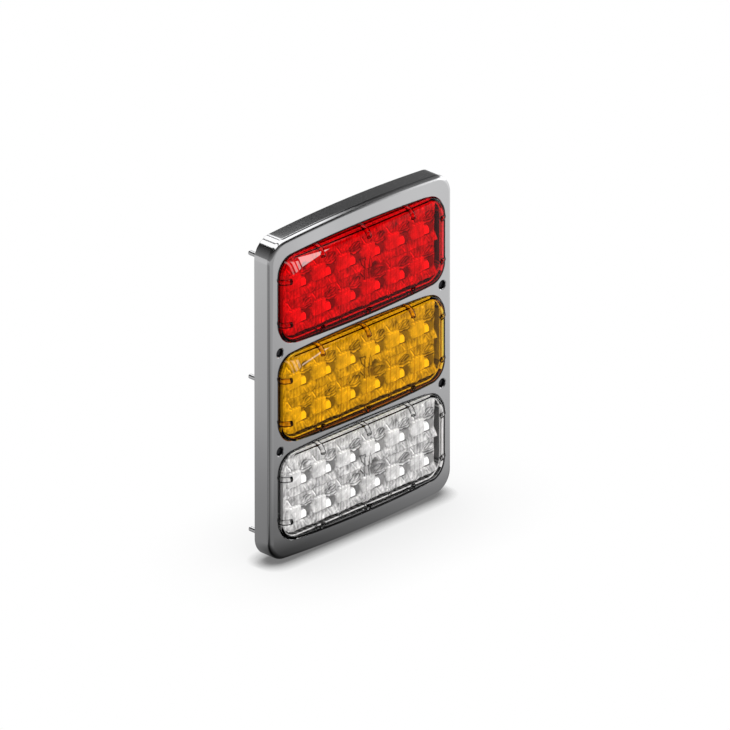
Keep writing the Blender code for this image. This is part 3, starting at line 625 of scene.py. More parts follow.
bezel_mesh = carved(
    "bezel_cover",
    body,
    ("DIFFERENCE", hollow_mesh),
    ("DIFFERENCE", openings),
    ("UNION", pins("lamp_bosses", [(x, y, 7.3, 18.0, 2.8, 2.8) for _, _, x, y in lamp_screws], 24)),
    ("UNION", pins("front_bosses", [(x, y, REAR, 18.0, 5.5, 5.5) for x, y in front_screws], 32)),
    ("UNION", pins("stud_bosses", [(x, y, REAR, 10.8, 3.4, 3.4) for x, y in studs], 24)),
    ("UNION", roots),
    (
        "DIFFERENCE",
        pins(
            "rear_holes",
            [(x, y, 0.0, 16.0, 1.65, 1.65) for _, _, x, y in lamp_screws]
            + [(x, y, -1.0, 10.0, 2.46, 2.46) for x, y in studs],
            24,
        ),
    ),
    ("DIFFERENCE", counterbores),
    ("DIFFERENCE", pins("screw_holes", [(x, y, -1.0, 15.5, 2.5, 2.5) for x, y in front_screws], 24)),
)
add("bezel_cover", bezel_mesh, [CHROME], ("bezel",), sharp=28.0)


# ---------------------------------------------------------------- lenses
def proud(x):
    return FACE + 9.6 - 3.2 * (x / LENS["half_w"]) ** 2


def lens_level(inset, drop, cy):
    return [(x, y + cy, proud(x) - drop) for x, y in grown(LENS, -inset, 18, 18)]


def rib_feet():
    edge_at = lambda x: LENS["half_h"] - LENS["bow_r"] + math.sqrt(LENS["bow_r"] ** 2 - x * x)
    feet = [(x, s * edge_at(x), 0.0, -s) for s in (1, -1) for x in (-50.0, 0.0, 50.0)]
    feet += [(s * LENS["half_w"], y, -s, 0.0) for s in (1, -1) for y in (-18.5, 18.5)]
    return feet


EDGE_FALL, EDGE_REACH = 1.5, 17.0


def lens_fall(inset):
    """How far the lens face falls away towards its edge, beyond the shoulder."""
    left = max(EDGE_REACH - inset, 0.0) / (EDGE_REACH - SHOULDER_R)
    return EDGE_FALL * left**2


def build_lens(colour, cy):
    work = bmesh.new()
    rings = []
    inner_r = SHOULDER_R - LENS_WALL
    insets = [16.5, 14.0, 11.5, 9.0, 7.0, 5.5]
    for inset in insets:
        rings.append(lens_level(inset, LENS_WALL + lens_fall(inset), cy))
    for k in range(6):
        a = 0.5 * math.pi * (1 - k / 5)
        rings.append(
            lens_level(
                LENS_WALL + inner_r * (1 - math.cos(a)),
                LENS_WALL + inner_r * (1 - math.sin(a)) + lens_fall(SHOULDER_R),
                cy,
            )
        )
    rings.append(lens_ring(-LENS_WALL, FLANGE_LOW, cy))
    flange = outline(93.2, 39.4, 18.9, None, 18, 18)
    rings.append(ring_at(flange, FLANGE_LOW, 0.0, cy))
    rings.append(ring_at(flange, FLANGE_TOP, 0.0, cy))
    rings.append(lens_ring(0.0, FLANGE_TOP, cy))
    for k in range(9):
        a = 0.5 * math.pi * k / 8
        rings.append(lens_level(SHOULDER_R * (1 - math.cos(a)), SHOULDER_R * (1 - math.sin(a)) + lens_fall(SHOULDER_R), cy))
    for inset in reversed(insets):
        rings.append(lens_level(inset, lens_fall(inset), cy))
    loft(work, rings, "ladder", "ladder")
    add(colour + "_lens_cover", mesh_of(work, colour + "_lens_cover"), [LENSES[colour]], (colour + "_lens",), sharp=38.0)
    # ten ribs round the edge; each runs up over the shoulder and ends in a ring of painted shade, with strips of
    # painted shade along both its sides
    work = bmesh.new()
    for x, y, ix, iy in rib_feet():
        lift = proud(x) - FACE - 9.6
        path = []
        for inset, h in ((0.75, 17.2), (0.8, 19.0), (1.0, 21.2), (1.7, 23.4), (2.9, 25.3), (4.5, 26.9), (6.2, 27.9), (7.8, 28.3)):
            path.append((x + ix * inset, y + iy * inset + cy, h + lift * (h - 17.2) / 11.1))
        path = [Vector(p) for p in path]
        tube(work, path, 2.3, 24, chamfer=0.3)
        ahead = (path[-1] - path[-2]).normalized()
        tube(work, [path[-1] - ahead * 0.9, path[-1] + ahead * 0.2, path[-1] + ahead * 0.4], [2.05, 2.05, 1.8], 20, 1)
        tube(work, [path[-1] - ahead * 0.5, path[-1] + ahead * 0.4, path[-1] + ahead * 0.55], [0.85, 0.85, 0.6], 16, 0)
        across = ahead.cross(Vector((0.0, 0.0, 1.0))).normalized()
        for side in (-1, 1):
            shade_strip = [p + across * side * 1.85 + Vector((ix, iy, 0.0)) * -0.9 * (1 - k / 7) + Vector((0, 0, 0.95)) * (k / 7) for k, p in enumerate(path)]
            tube(work, shade_strip[1:], [0.75, 0.7, 0.55, 0.7, 0.5, 0.65, 0.55], 8, 1)
    # fine moulded lines on the inside of the face, in pairs, each ending in a small round pad
    for column in range(-2, 3):
        for side in (-1, 1):
            x = column * COLUMN_PITCH + side * 3.2
            h = proud(x) - LENS_WALL - 0.02
            tube(work, [(x, cy + 4.0, h), (x, cy - 6.0, h), (x, cy - 16.0, h), (x, cy - 27.0, h - 0.2)], 0.26, 8)
            if side < 0:
                turned(work, [(0.0, h - 1.5), (1.2, h - 1.5), (1.5, h - 1.2), (1.5, h - 0.1), (0.0, h - 0.1)], 16, x, cy - 29.6)
    add(
        colour + "_lens_ribs",
        mesh_of(work, colour + "_lens_ribs"),
        [RIBS[colour], RIB_SHADES[colour]],
        (colour + "_lens",),
        sharp=38.0,
    )




# ---------------------------------------------------------------- optic arrays
def near(u, v, ends, width):
    """1 on a line between two points of a cell, falling to 0 at its half width."""
    (x0, y0), (x1, y1) = ends
    dx, dy = x1 - x0, y1 - y0
    t = np.clip(((u - x0) * dx + (v - y0) * dy) / (dx * dx + dy * dy), 0.0, 1.0)
    gap = np.hypot(u - x0 - t * dx, v - y0 - t * dy)
    return np.clip(1.4 - 1.4 * gap / width, 0.0, 1.0)


def within(value, low, high, soft=0.35):
    return np.clip((value - low) / soft + 0.5, 0.0, 1.0) * np.clip((high - value) / soft + 0.5, 0.0, 1.0)


def lay(under, over, mask):
    return under * (1.0 - mask) + over * mask


def ripple(u, v, seed, size):
    """Smooth repeatable unevenness from a few crossed waves."""
    rng = np.random.default_rng(seed)
    total = np.zeros_like(u)
    for _ in range(6):
        a, p = rng.uniform(0, math.pi), rng.uniform(0, 2 * math.pi)
        k = 2 * math.pi / (size * rng.uniform(0.6, 1.6))
        total += np.sin(k * (u * math.cos(a) + v * math.sin(a)) + p)
    return total / 3.5


def cell_form(u, v, mottle, glints, crease_shade, shade_depth):
    """Height over the plate and lightness of one optic cell, from its centre (mm); the lightness is painted light and
    shade. Each cell is a fluted drum with a bright window and painted shade in the hollow beside it, a ribbed dish
    above and a folded skirt below."""
    # ground and skirt: folds that spread downwards
    upright = np.sin(2 * math.pi * u / 1.9)
    spread = (u + 3.0) / (1.0 + 0.035 * np.clip(-7.0 - v, 0.0, 10.0))
    folds = np.sin(2 * math.pi * spread / 3.2 + 2.6 * mottle)
    height = 0.10 * folds + 0.40 * mottle
    tone = 0.60 + 0.05 * folds + 0.17 * mottle
    flare = within(v, -15.4, -7.2, 1.2)
    height = height + 1.3 * flare * np.clip((-7.0 - v) / 8.0, 0.0, 1.0)
    tone = tone + 0.03 * flare * folds
    # dish: smile-shaped ribs low down, slanting ones above, painted light and dark, with painted shade as a dark arch
    # over it and as a dark line along its lip
    arc = v - 0.045 * (u - 6.3) ** 2
    smile = np.cos(2 * math.pi * arc / 2.1 + 2.4 * mottle)
    slant = np.cos(2 * math.pi * (-0.62 * u + 0.78 * v) / 2.9 + 3.0 * mottle)
    low_part = np.clip((6.4 - v) / 3.0, 0.0, 1.0)
    dish = within(u, 0.2, 12.4, 0.7) * np.clip((v - 0.8 - 0.02 * (u - 6.3) ** 2) / 0.5, 0.0, 1.0)
    dish = dish * np.clip((11.4 - 0.05 * (u - 6.0) ** 2 - v) / 0.6, 0.0, 1.0)
    dish_tone = 0.47 + 0.20 * smile * low_part + 0.15 * slant * (1.0 - low_part) + 0.22 * mottle
    dish_height = -1.4 + 0.02 * np.hypot(u - 6.3, v - 6.5) ** 2 + 0.30 * smile * low_part + 0.22 * slant * (1.0 - low_part)
    tone, height = lay(tone, dish_tone, dish), lay(height, dish_height, dish)
    arch = np.clip(1.4 - 1.4 * np.abs(v - 11.2 + 0.055 * (u - 6.0) ** 2) / 0.7, 0.0, 1.0) * within(u, 1.2, 11.6)
    tone = lay(tone, 0.17, arch * np.clip(0.35 - 0.7 * mottle, 0.0, 0.75))
    lip = np.clip(1.4 - 1.4 * np.abs(arc - 0.75) / 0.65, 0.0, 1.0) * within(u, 0.8, 11.8)
    tone = lay(tone, 0.12, lip * np.clip(0.55 + 0.6 * mottle, 0.2, 0.85))
    # drum with upright flutes, a painted highlight along its jagged rim, and thin lines of painted shade beside it and
    # over the rim
    crest = 5.7 - 0.014 * (u + 8.0) ** 2 + 0.25 * np.abs(np.sin(math.pi * u / 1.9))
    left_edge = -15.1 + 0.03 * (v + 1.0) ** 2
    drum = np.clip((u - left_edge) / 0.4, 0.0, 1.0) * np.clip((0.8 - u) / 1.4, 0.0, 1.0)
    drum = drum * np.clip((v + 7.4) / 0.5, 0.0, 1.0) * np.clip((crest - v) / 0.5, 0.0, 1.0)
    bulge = np.sqrt(np.clip(1.0 - ((u + 7.0) / 9.6) ** 2, 0.0, 1.0))
    drum_tone = 0.70 + 0.035 * upright + 0.008 * (u + 8.0) + 0.11 * mottle
    tone = lay(tone, drum_tone, drum)
    height = lay(height, 0.3 + 1.5 * bulge + 0.15 * upright, drum)
    side_line = np.clip(1.4 - 1.4 * np.abs(u - left_edge + 0.35) / 0.5, 0.0, 1.0) * within(v, -6.8, 4.6)
    tone = lay(tone, 0.30, side_line * 0.7)
    rim = np.clip(1.0 - np.abs(v - crest + 0.5) / 0.6, 0.0, 1.0) * within(u, -13.0, -2.6)
    tone = lay(tone, 1.0, rim * (0.55 + 0.45 * np.sin(2 * math.pi * u / 3.1)))
    over_rim = np.clip(1.0 - np.abs(v - crest - 0.75) / 0.6, 0.0, 1.0) * within(u, -13.5, 0.5)
    tone = lay(tone, 0.33, over_rim * 0.5)
    # painted highlight along the glints and painted shade along the creases, which also raise and dip the height a
    # little
    tone = tone + 0.24 * glints - 0.26 * crease_shade * (1.0 - 0.6 * drum)
    height = height + 0.25 * glints - 0.2 * crease_shade
    # hollow beside the window, darkened with painted shade
    side = 5.9 - 1.7 * np.clip((v + 4.6) / 4.4, 0.0, 1.3) ** 2
    hollow = (
        np.clip((u - side) / 0.4, 0.0, 1.0)
        * np.clip((12.2 - 0.075 * (v + 3.4) ** 2 - u) / 0.5, 0.0, 1.0)
        * np.clip((v + 8.2) / 0.5, 0.0, 1.0)
        * np.clip((0.9 - v) / 0.5, 0.0, 1.0)
    )
    hollow_shade = 0.22 + 0.016 * (u - 5.0) + 0.008 * (v + 8.0) + 0.05 * mottle
    hollow_shade = shade_depth * hollow_shade + (1.0 - shade_depth) * 0.58
    tone = lay(tone, hollow_shade, hollow)
    height = lay(height, -1.5 + 0.05 * (u - 9.0) ** 2, hollow)
    # bright window, a little proud, fading into the drum, with painted shadow as a dark line under it
    window = np.clip((side - u) / 0.35, 0.0, 1.0) * np.clip((u + 0.6) / 1.5, 0.0, 1.0) * within(v, -6.9, -0.1, 0.5)
    tone = lay(tone, 1.0, window)
    height = lay(height, 1.0, window)
    shelf_shadow = near(u, v, ((-1.6, -7.4), (7.8, -7.9)), 0.75)
    tone = lay(tone, 0.12, shelf_shadow * 0.8)
    height = height - 0.5 * shelf_shadow
    # moulded ridges: painted highlights on their crests and painted shade at their foot
    for ends, width, strength in (
        (((-14.4, 12.4), (-10.2, 6.4)), 0.6, 0.9),
        (((2.6, -9.2), (5.4, -13.6)), 0.7, 0.45),
        (((-11.2, -9.6), (-12.2, -13.8)), 0.5, 0.35),
    ):
        foot = tuple((x + 0.95, y + 0.75) for x, y in ends)
        tone = lay(tone, 0.28, near(u, v, foot, width) * 0.6 * strength)
        crest_mask = near(u, v, ends, width)
        tone = lay(tone, 1.0, crest_mask * strength)
        height = height + 0.5 * crest_mask * strength
    # small round pip where four cells meet
    ring = np.clip(1.0 - np.abs(np.hypot((u + 14.0) / 0.8, v + 14.2) - 1.7) / 0.55, 0.0, 1.0)
    tone = lay(tone, 0.26, ring * 0.6)
    return height, np.clip(1.06 * np.clip(tone, 0.03, 1.0) ** 1.72, 0.0, 1.0)


PLATE_TOP, PLATE_LOW = 19.5, 11.0
GRID = 0.45


def relief(work, colour, cy, tone_layer):
    """The moulded front of one optic array as a closed plate: top relief, scalloped sides and a flat back."""
    columns, rows = int(165.0 / GRID), int(63.0 / GRID)
    s = np.linspace(-1.0, 1.0, columns)[None, :].repeat(rows, 0)
    t = np.linspace(1.0, -1.0, rows)[:, None].repeat(columns, 1)
    # outer edge: notched at the ends, scalloped along the long sides
    v_try = t * 31.0
    row_rel = np.where(v_try > 0.0, v_try - 15.05, v_try + 15.05)
    out = 81.3 + 2.1 * np.clip((-7.5 - row_rel) / 7.5, 0.0, 1.0)
    u = s * np.where(s > 0, out, 86.6)
    bottom = 31.6 + 0.7 * np.cos(2 * math.pi * (u - 5.0) / COLUMN_PITCH)
    v = t * np.where(t > 0, 34.6, bottom)
    # rounded plate corners
    bend = np.clip(np.abs(u) - 73.0, 0.0, 13.6)
    most = 34.6 - 13.6 + np.sqrt(13.6**2 - bend**2) * 1.0
    v = np.where(v > 0, v * np.where(u < 0, most / 34.6, 1.0 - 0.0012 * bend**2), v * (1.0 - 0.0009 * bend**2))
    column = np.clip(np.floor((u + 15.0 + 2.5 * COLUMN_PITCH) / COLUMN_PITCH), 0, 5)
    row = np.where(v > -1.45, 1, 0)
    cu = u - (column - 2.5) * COLUMN_PITCH
    cv = v - (row - 0.5) * ROW_PITCH
    mottle = ripple(u, v, 7, 9.0) * 0.6 + ripple(u, v, 11, 4.2) * 0.4
    # ripples that place lines of painted highlight, and lines of painted shade along shallow creases
    waves, crease_waves = ripple(u, v, 21, 8.0), ripple(u, v, 34, 9.0)
    glints = np.clip(1.0 - np.abs(waves) / 0.09, 0.0, 1.0) * np.clip(0.5 + mottle, 0.0, 1.0)
    crease_shade = np.clip(1.0 - np.abs(crease_waves) / 0.08, 0.0, 1.0) * np.clip(0.6 - mottle, 0.0, 1.0)
    # how strong the painted shade in the hollows is: weaker in the right-hand columns of the clear lamp and in the
    # upper row of the others
    if colour == "clear":
        depth = np.where(column > 2.5, 0.55, 0.95)
    else:
        depth = np.where(row > 0.5, 0.75, 1.0)
    height, tone = cell_form(cu, cv, mottle, glints, crease_shade, depth)
    # well round the middle screw: painted shade on its moulded walls, in the well and in the murk beside it, with a
    # lighter line
    murk = np.clip(1.2 - np.hypot((u - 14.5) / 13.5, (v + 5.4) / 5.6), 0.0, 1.0) ** 0.6
    swirl = 0.5 + 0.5 * np.sin(2 * math.pi * (0.30 * u + np.hypot((u - 20.0) / 1.7, v + 6.5)) / 3.1 + 1.5 * mottle)
    tone = lay(tone, 0.03 + 0.30 * swirl**2, murk * 0.85)
    tone = lay(tone, 0.42, np.clip(1.0 - np.hypot((u - 3.4) / 4.4, (v - 1.0) / 10.0), 0.0, 1.0) ** 0.5 * 0.5)
    for ends, width in (
        (((2.0, 10.0), (2.3, -8.6)), 1.0),
        (((7.3, 9.6), (7.5, -9.2)), 0.85),
        (((-1.4, 9.8), (1.6, 10.6)), 0.8),
        (((-1.8, 9.4), (-1.0, 5.2)), 0.9),
        (((-1.0, 5.2), (1.6, 1.6)), 0.8),
        (((-1.6, -2.6), (1.0, -6.0)), 0.9),
        (((10.6, 2.0), (11.4, -7.4)), 0.7),
    ):
        tone = lay(tone, 0.03, near(u, v, ends, width) * 0.9)
    tone = lay(tone, 0.75, near(u, v, ((4.6, 8.8), (4.9, -6.4)), 0.8) * 0.6)
    well = np.clip((3.6 - np.hypot(u - 13.6, v)) / 0.8, 0.0, 1.0)
    height = height - 3.2 * well
    tone = lay(tone, 0.08, well * 0.8)
    # sides of the plate fall away at the very edge
    border = np.minimum.reduce([columns - 1 - np.arange(columns)[None, :].repeat(rows, 0), np.arange(columns)[None, :].repeat(rows, 0)])
    border_v = np.minimum.reduce([rows - 1 - np.arange(rows)[:, None].repeat(columns, 1), np.arange(rows)[:, None].repeat(columns, 1)])
    rim = np.minimum(border, border_v)
    height = np.where(rim < 2, height - 0.8 + 0.4 * rim, height)
    h = PLATE_TOP + height
    grid = [[None] * columns for _ in range(rows)]
    for j in range(rows):
        for i in range(columns):
            vert = work.verts.new((u[j, i], v[j, i] + cy, h[j, i]))
            vert[tone_layer] = tone[j, i]
            grid[j][i] = vert
    for j in range(rows - 1):
        for i in range(columns - 1):
            work.faces.new((grid[j][i], grid[j + 1][i], grid[j + 1][i + 1], grid[j][i + 1]))
    edge = grid[0][:] + [grid[j][-1] for j in range(1, rows)] + grid[-1][-2::-1] + [grid[j][0] for j in range(rows - 2, 0, -1)]
    levels = [edge]
    for k, level in enumerate((17.4, 15.0, 12.6, PLATE_LOW)):
        ring = []
        for i, above in enumerate(edge):
            x, y, _ = above.co
            inset = 1.0 - (0.004 + 0.012 * (k + 1) / 4) * (1.0 + 0.35 * math.sin(i * 0.9))
            vert = work.verts.new((x * inset, cy + (y - cy) * (1.0 - (1.0 - inset) * 2.2), level))
            light = 0.45 - 0.05 * k if (y > cy + 20.0 or x < -80.0) else 0.10
            vert[tone_layer] = max(0.02, light * (1.0 + 0.35 * math.sin(i * 0.55 + k) + 0.25 * math.sin(i * 0.21)))
            ring.append(vert)
        levels.append(ring)
    for high, low in zip(levels, levels[1:]):
        for i in range(len(edge)):
            j = (i + 1) % len(edge)
            work.faces.new((high[j], high[i], low[i], low[j]))
    work.faces.new(list(reversed(levels[-1])))


def build_optics(colour, cy):
    work = bmesh.new()
    tone_layer = work.verts.layers.float.new("tone")
    relief(work, colour, cy, tone_layer)
    # collimator bodies behind the plate, the legs, and the collar under the middle screw
    def fluted(r, h, a, k):
        return (r * (1.0 + 0.02 * math.cos(24 * a)), h) if 5 <= k <= 8 else (r, h)

    for x, y in [((c - 2.5) * COLUMN_PITCH, (r - 0.5) * ROW_PITCH) for r in range(2) for c in range(6)]:
        turned(
            work,
            [(0.0, 9.4), (1.8, 9.2), (3.0, 8.4), (3.2, CUP_LOW), (5.2, CUP_LOW), (6.4, 7.6), (8.4, 9.6), (10.4, 11.4), (11.0, 12.2), (0.0, 12.2)],
            48, x, cy + y, radial=fluted,
        )
    # flange that closes the tray round the plate, and a bright wall at the right end
    web = dict(half_w=87.4, half_h=35.2, corner_r=14.5)
    loft(work, [ring_at(grown(web, g), h, 0.0, cy) for g, h in ((-0.3, 11.6), (0.0, 11.9), (0.0, 13.0), (-0.3, 13.3))])
    # clear skirt that stands up round the plate
    skirt = ((0.0, 13.1), (0.0, 18.6), (0.0, 19.0), (-0.3, 19.4), (-0.9, 19.4), (-1.2, 19.0), (-1.2, 18.6), (-1.2, 13.1), (0.0, 13.1))
    loft(work, [ring_at(grown(web, g + 0.3, 18, 110), h, 0.0, cy) for g, h in skirt], None, None)
    bar = []
    for k in range(17):
        y = -26.5 + 53.0 * k / 16
        drop = max(abs(y) - 20.0, 0.0)
        bar.append((85.7 - 0.11 * drop**1.6, cy + y, 22.9))
    tube(work, bar, 1.15, 12)
    for x in (-54.5, 54.5):
        turned(work, [(0.0, 5.2), (1.6, 5.2), (1.8, 5.5), (1.8, 12.0), (0.0, 12.0)], 24, x, cy)
    for vert in work.verts:
        if vert[tone_layer] == 0.0:
            x, y, h = vert.co
            if h > 20.0:
                vert[tone_layer] = 0.58
            elif h > 13.05:
                fleck = math.sin(1.9 * x + 0.7 * y) * math.sin(0.83 * x - 1.3 * y) + 0.5 * math.sin(4.3 * x + 2.1 * y)
                rim = 0.30 if x < -80.0 else 0.54
                vert[tone_layer] = min(max(rim + 0.16 * fleck if h > 18.9 else 0.12 + 0.22 * fleck, 0.03), 1.0)
            elif h > 11.0:
                vert[tone_layer] = 0.17 + 0.07 * math.sin(0.35 * x) + 0.05 * math.sin(0.9 * x + 0.4 * y)
            else:
                vert[tone_layer] = 0.12
    add(
        colour + "_optics",
        mesh_of(work, colour + "_optics"),
        [OPTIC],
        (colour + "_optic_array",),
        sharp=75.0,
        weighted=False,
    )


for colour, place in LAMPS:
    build_lens(colour, place * PITCH)
    build_optics(colour, place * PITCH)

# ---------------------------------------------------------------- finishes on the CAD nodes that stay
STAYS = {
    "foam_gasket": FOAM,
    "_lens_seal": SILICONE,
    "_housing": HOUSING,
    "_led_board": BOARD,
    "_grommet": RUBBER,
    "_optic_screw": BLACK_ZINC,
    "_lamp_screw": ZINC,
    "bezel_screw": BLACK_ZINC,
    "rear_stud": PIN,
}
for name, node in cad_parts.items():
    if node.hide_render:
        continue
    chosen = None
    for key, made in STAYS.items():
        if key in name:
            chosen = made
    if "_wire_" in name:
        chosen = WIRES[name.rsplit("_", 1)[1]]
    if chosen:
        for slot in node.material_slots:
            slot.material = chosen

def band_of(n, value, low, high, soft=0.015):
    return n.math("MULTIPLY", n.span(value, low - soft, low + soft), n.span(value, high - soft, high + soft, 1.0, 0.0))


def product_of(n, *values):
    total = values[0]
    for value in values[1:]:
        total = n.math("MULTIPLY", total, value)
    return total


# ---------------------------------------------------------------- the backs of the housings, and the bared lead ends
def frame_rib(work, half_w, half_h, corner_r, width, top, cx=0.0, cy=0.0):
    """A raised rib that runs round a rounded rectangle, standing off the back face."""
    edge = 0.18
    rings = []
    for inset, h in ((0.0, 0.2), (0.0, top + edge), (edge, top), (width - edge, top), (width, top + edge), (width, 0.2), (0.0, 0.2)):
        rings.append(ring_at(outline(half_w - inset, half_h - inset, max(corner_r - inset, 0.2)), h, cx, cy))
    loft(work, rings, None, None)


def build_housing_back(colour, cy):
    work = bmesh.new()
    frame_rib(work, 85.6, 33.4, 11.5, 1.5, -0.9, 0.0, cy)
    for x in (-64.0, -16.0, 8.0, 66.0):
        block(work, x, cy, -0.75, 0.2, 1.3, 64.4, bevel=0.15)
    for y in (-21.0, 21.0):
        block(work, -39.5, cy + y, -0.7, 0.2, 48.5, 1.3, bevel=0.15)
        block(work, 75.0, cy + y * 0.6, -0.7, 0.2, 18.0, 1.3, bevel=0.15)
    block(work, 26.0, cy + 18.0, -0.7, 0.2, 36.5, 1.3, bevel=0.15)
    frame_rib(work, 20.0, 9.0, 2.4, 0.9, -0.5, -40.0, cy - 6.0)
    c = circle(1.0, 56)
    boss = ((12.2, 0.2), (12.2, -0.9), (11.9, -1.2), (10.7, -1.2), (10.4, -0.9), (10.4, 0.2), (12.2, 0.2))
    loft(work, [[(45.0 + px * r, cy + py * r, h) for px, py in c] for r, h in boss], None, None)
    vent = ((5.2, 0.2), (5.2, -1.3), (4.9, -1.6), (4.0, -1.6), (3.8, -1.4), (3.8, -0.7), (1.2, -0.7), (1.0, -1.1), (0.5, -1.2))
    loft(work, [[(-40.0 + px * r, cy + 13.0 + py * r, h) for px, py in c] for r, h in vent])
    for x, y in ((-75.0, 26.0), (75.0, 26.0), (-75.0, -26.0), (75.0, -26.0), (-4.0, 0.0)):
        loft(work, [[(x + px * r, cy + y + py * r, h) for px, py in c] for r, h in ((3.0, 0.2), (3.0, -0.22), (2.7, -0.3), (2.2, -0.3), (2.05, -0.12))])
    bmesh.ops.remove_doubles(work, verts=list(work.verts), dist=0.0005)
    add(colour + "_housing_ribs", mesh_of(work, colour + "_housing_ribs"), [HOUSING])


def build_lead_ends():
    """Bared, twisted and tinned strands at the cut end of each lead."""
    work = bmesh.new()
    for name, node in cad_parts.items():
        if "_wire_" not in name:
            continue
        points = [node.matrix_world @ v.co for v in node.data.vertices]
        foot = min(p.z for p in points)
        last = [p for p in points if p.z < foot + 0.0006]
        x, y, h = (1000.0 * sum(p[k] for p in last) / len(last) for k in range(3))
        y, h = h, -y
        for strand in range(5):
            path = []
            for k in range(9):
                turn = 2 * math.pi * (strand / 5 + 0.11 * k)
                path.append((x + 0.30 * math.cos(turn), y + 0.8 - 0.62 * k, h + 0.30 * math.sin(turn) - 0.03 * k))
            tube(work, path, 0.20, 8)
    add("bared_lead_ends", mesh_of(work, "bared_lead_ends"), [TINNED])


for colour, place in LAMPS:
    build_housing_back(colour, place * PITCH)
build_lead_ends()

# ---------------------------------------------------------------- floor, light and camera
FLOOR_Z = CAD_LOW.z - 0.0002
work = bmesh.new()
loft(work, [[(x, y, 0.0) for x, y in circle(9000.0, 96)], [(x, y, -5.0) for x, y in circle(9000.0, 96)]])
floor_mesh = mesh_of(work, "floor")
floor = bpy.data.objects.new("floor", floor_mesh)
floor.location = (0.0, 0.0, FLOOR_Z)
bpy.context.scene.collection.objects.link(floor)

paper = bpy.data.materials.new("pale_floor")
paper.use_nodes = True
tree = paper.node_tree
n = Nodes(tree)
out = tree.nodes["Material Output"]
tree.nodes.remove(tree.nodes["Principled BSDF"])
base = n.make("ShaderNodeBsdfDiffuse", inputs={"Color": (0.9, 0.9, 0.9)})
# the pale sweep as the camera sees it, with a soft contact shadow
close = n.make("ShaderNodeAmbientOcclusion", samples=12, inputs={"Distance": 0.014})
wide = n.make("ShaderNodeAmbientOcclusion", samples=12, inputs={"Distance": 0.10})
shade = n.math(
    "MULTIPLY",
    n.span(close.outputs["AO"], 0.42, 1.0, 0.21, 1.0, "LINEAR"),
    n.span(wide.outputs["AO"], 0.5, 1.0, 0.84, 1.0, "LINEAR"),
)
seen = n.make("ShaderNodeEmission", inputs={"Color": (1.0, 1.0, 1.0), "Strength": shade})
# what polished parts mirror from the floor: dark close to the lamp and lighter further out
spot = tree.nodes.new("ShaderNodeNewGeometry").outputs["Position"]
apart = n.make("ShaderNodeSeparateXYZ", inputs={0: spot})
x, y = apart.outputs["X"], apart.outputs["Y"]
ramp = tree.nodes.new("ShaderNodeValToRGB")
stops = ((0.0, 0.0), (0.02, 0.0), (0.035, 0.04), (0.059, 0.165), (0.097, 0.185), (0.17, 0.30), (0.234, 0.34), (0.30, 0.42), (0.43, 0.49))
for place, level in stops[1:-1]:
    ramp.color_ramp.elements.new(place * 2.0)
for element, (place, level) in zip(ramp.color_ramp.elements, stops):
    element.position = place * 2.0
    element.color = (level, level, level, 1.0)
n.put(ramp.inputs[0], n.math("MULTIPLY", y, -2.0))
across = n.math("ADD", n.math("ADD", x, y), 0.02)
front = n.math(
    "ADD",
    n.math("ADD", ramp.outputs[0], n.span(across, -0.1, 0.3, 0.0, 0.42, "LINEAR")),
    n.span(across, -0.6, -0.15, -0.12, 0.0),
)
ratio = n.math("DIVIDE", y, n.math("MAXIMUM", n.math("MULTIPLY", n.math("ADD", x, 0.101), -1.0), 0.02))
left_side = n.span(x, -0.16, -0.13, 1.0, 0.0)
streak = n.span(n.math("ABSOLUTE", n.math("ADD", ratio, 0.05)), 0.04, 0.16, 0.30, 0.0)
gap = n.span(n.math("ABSOLUTE", n.math("SUBTRACT", ratio, 0.36)), 0.08, 0.2, -0.13, 0.0)
behind = n.math("ADD", n.span(y, 0.0, 0.50, 0.22, 0.45, "LINEAR"), n.span(x, 0.12, 0.5, 0.0, 0.7, "LINEAR"))
pick = n.span(y, -0.02, 0.02)
level = n.math("ADD", n.math("MULTIPLY", front, n.math("SUBTRACT", 1.0, pick)), n.math("MULTIPLY", behind, pick))
level = n.math("ADD", level, n.math("MULTIPLY", n.math("ADD", streak, gap), left_side))
far = n.math("DIVIDE", x, n.math("MAXIMUM", n.math("MULTIPLY", y, -1.0), 0.05))
gloom = product_of(n, n.span(y, -3.0, -1.7, 0.85, 0.0), band_of(n, far, 0.58, 0.86, 0.04))
level = n.math("MULTIPLY", level, n.math("SUBTRACT", 1.0, gloom))
level = n.math("ADD", level, product_of(n, n.span(y, -1.1, -0.7, 1.0, 0.0), n.span(far, 0.86, 0.92), n.span(x, 0.2, 0.3), 0.30))
aside = n.math("ADD", n.math("ADD", x, y), 0.02)
level = n.math("MULTIPLY", level, n.math("ADD", 1.0, product_of(n, band_of(n, aside, -0.076, -0.034, 0.012), n.span(y, -0.30, -0.22, 0.22, 0.0))))
level = n.math("MULTIPLY", level, n.math("SUBTRACT", 1.0, product_of(n, n.span(aside, 0.080, 0.092), n.span(y, -0.35, -0.25, 0.09, 0.0))))
level = n.math("MULTIPLY", level, n.math("ADD", 1.0, product_of(n, n.span(x, -0.33, -0.17, 0.27, 0.0), n.span(y, 0.02, 0.06))))
level = n.math("MINIMUM", n.math("MAXIMUM", level, 0.0), 1.15)
card = n.make("ShaderNodeEmission", inputs={"Color": (1.0, 1.0, 1.0), "Strength": level})
path = tree.nodes.new("ShaderNodeLightPath")
plain = n.make("ShaderNodeMixShader", inputs={0: path.outputs["Is Camera Ray"], 1: base, 2: seen})
mix = n.make("ShaderNodeMixShader", inputs={0: path.outputs["Is Glossy Ray"], 1: plain, 2: card})
n.put(out.inputs["Surface"], mix.outputs[0])
floor_mesh.materials.append(paper)

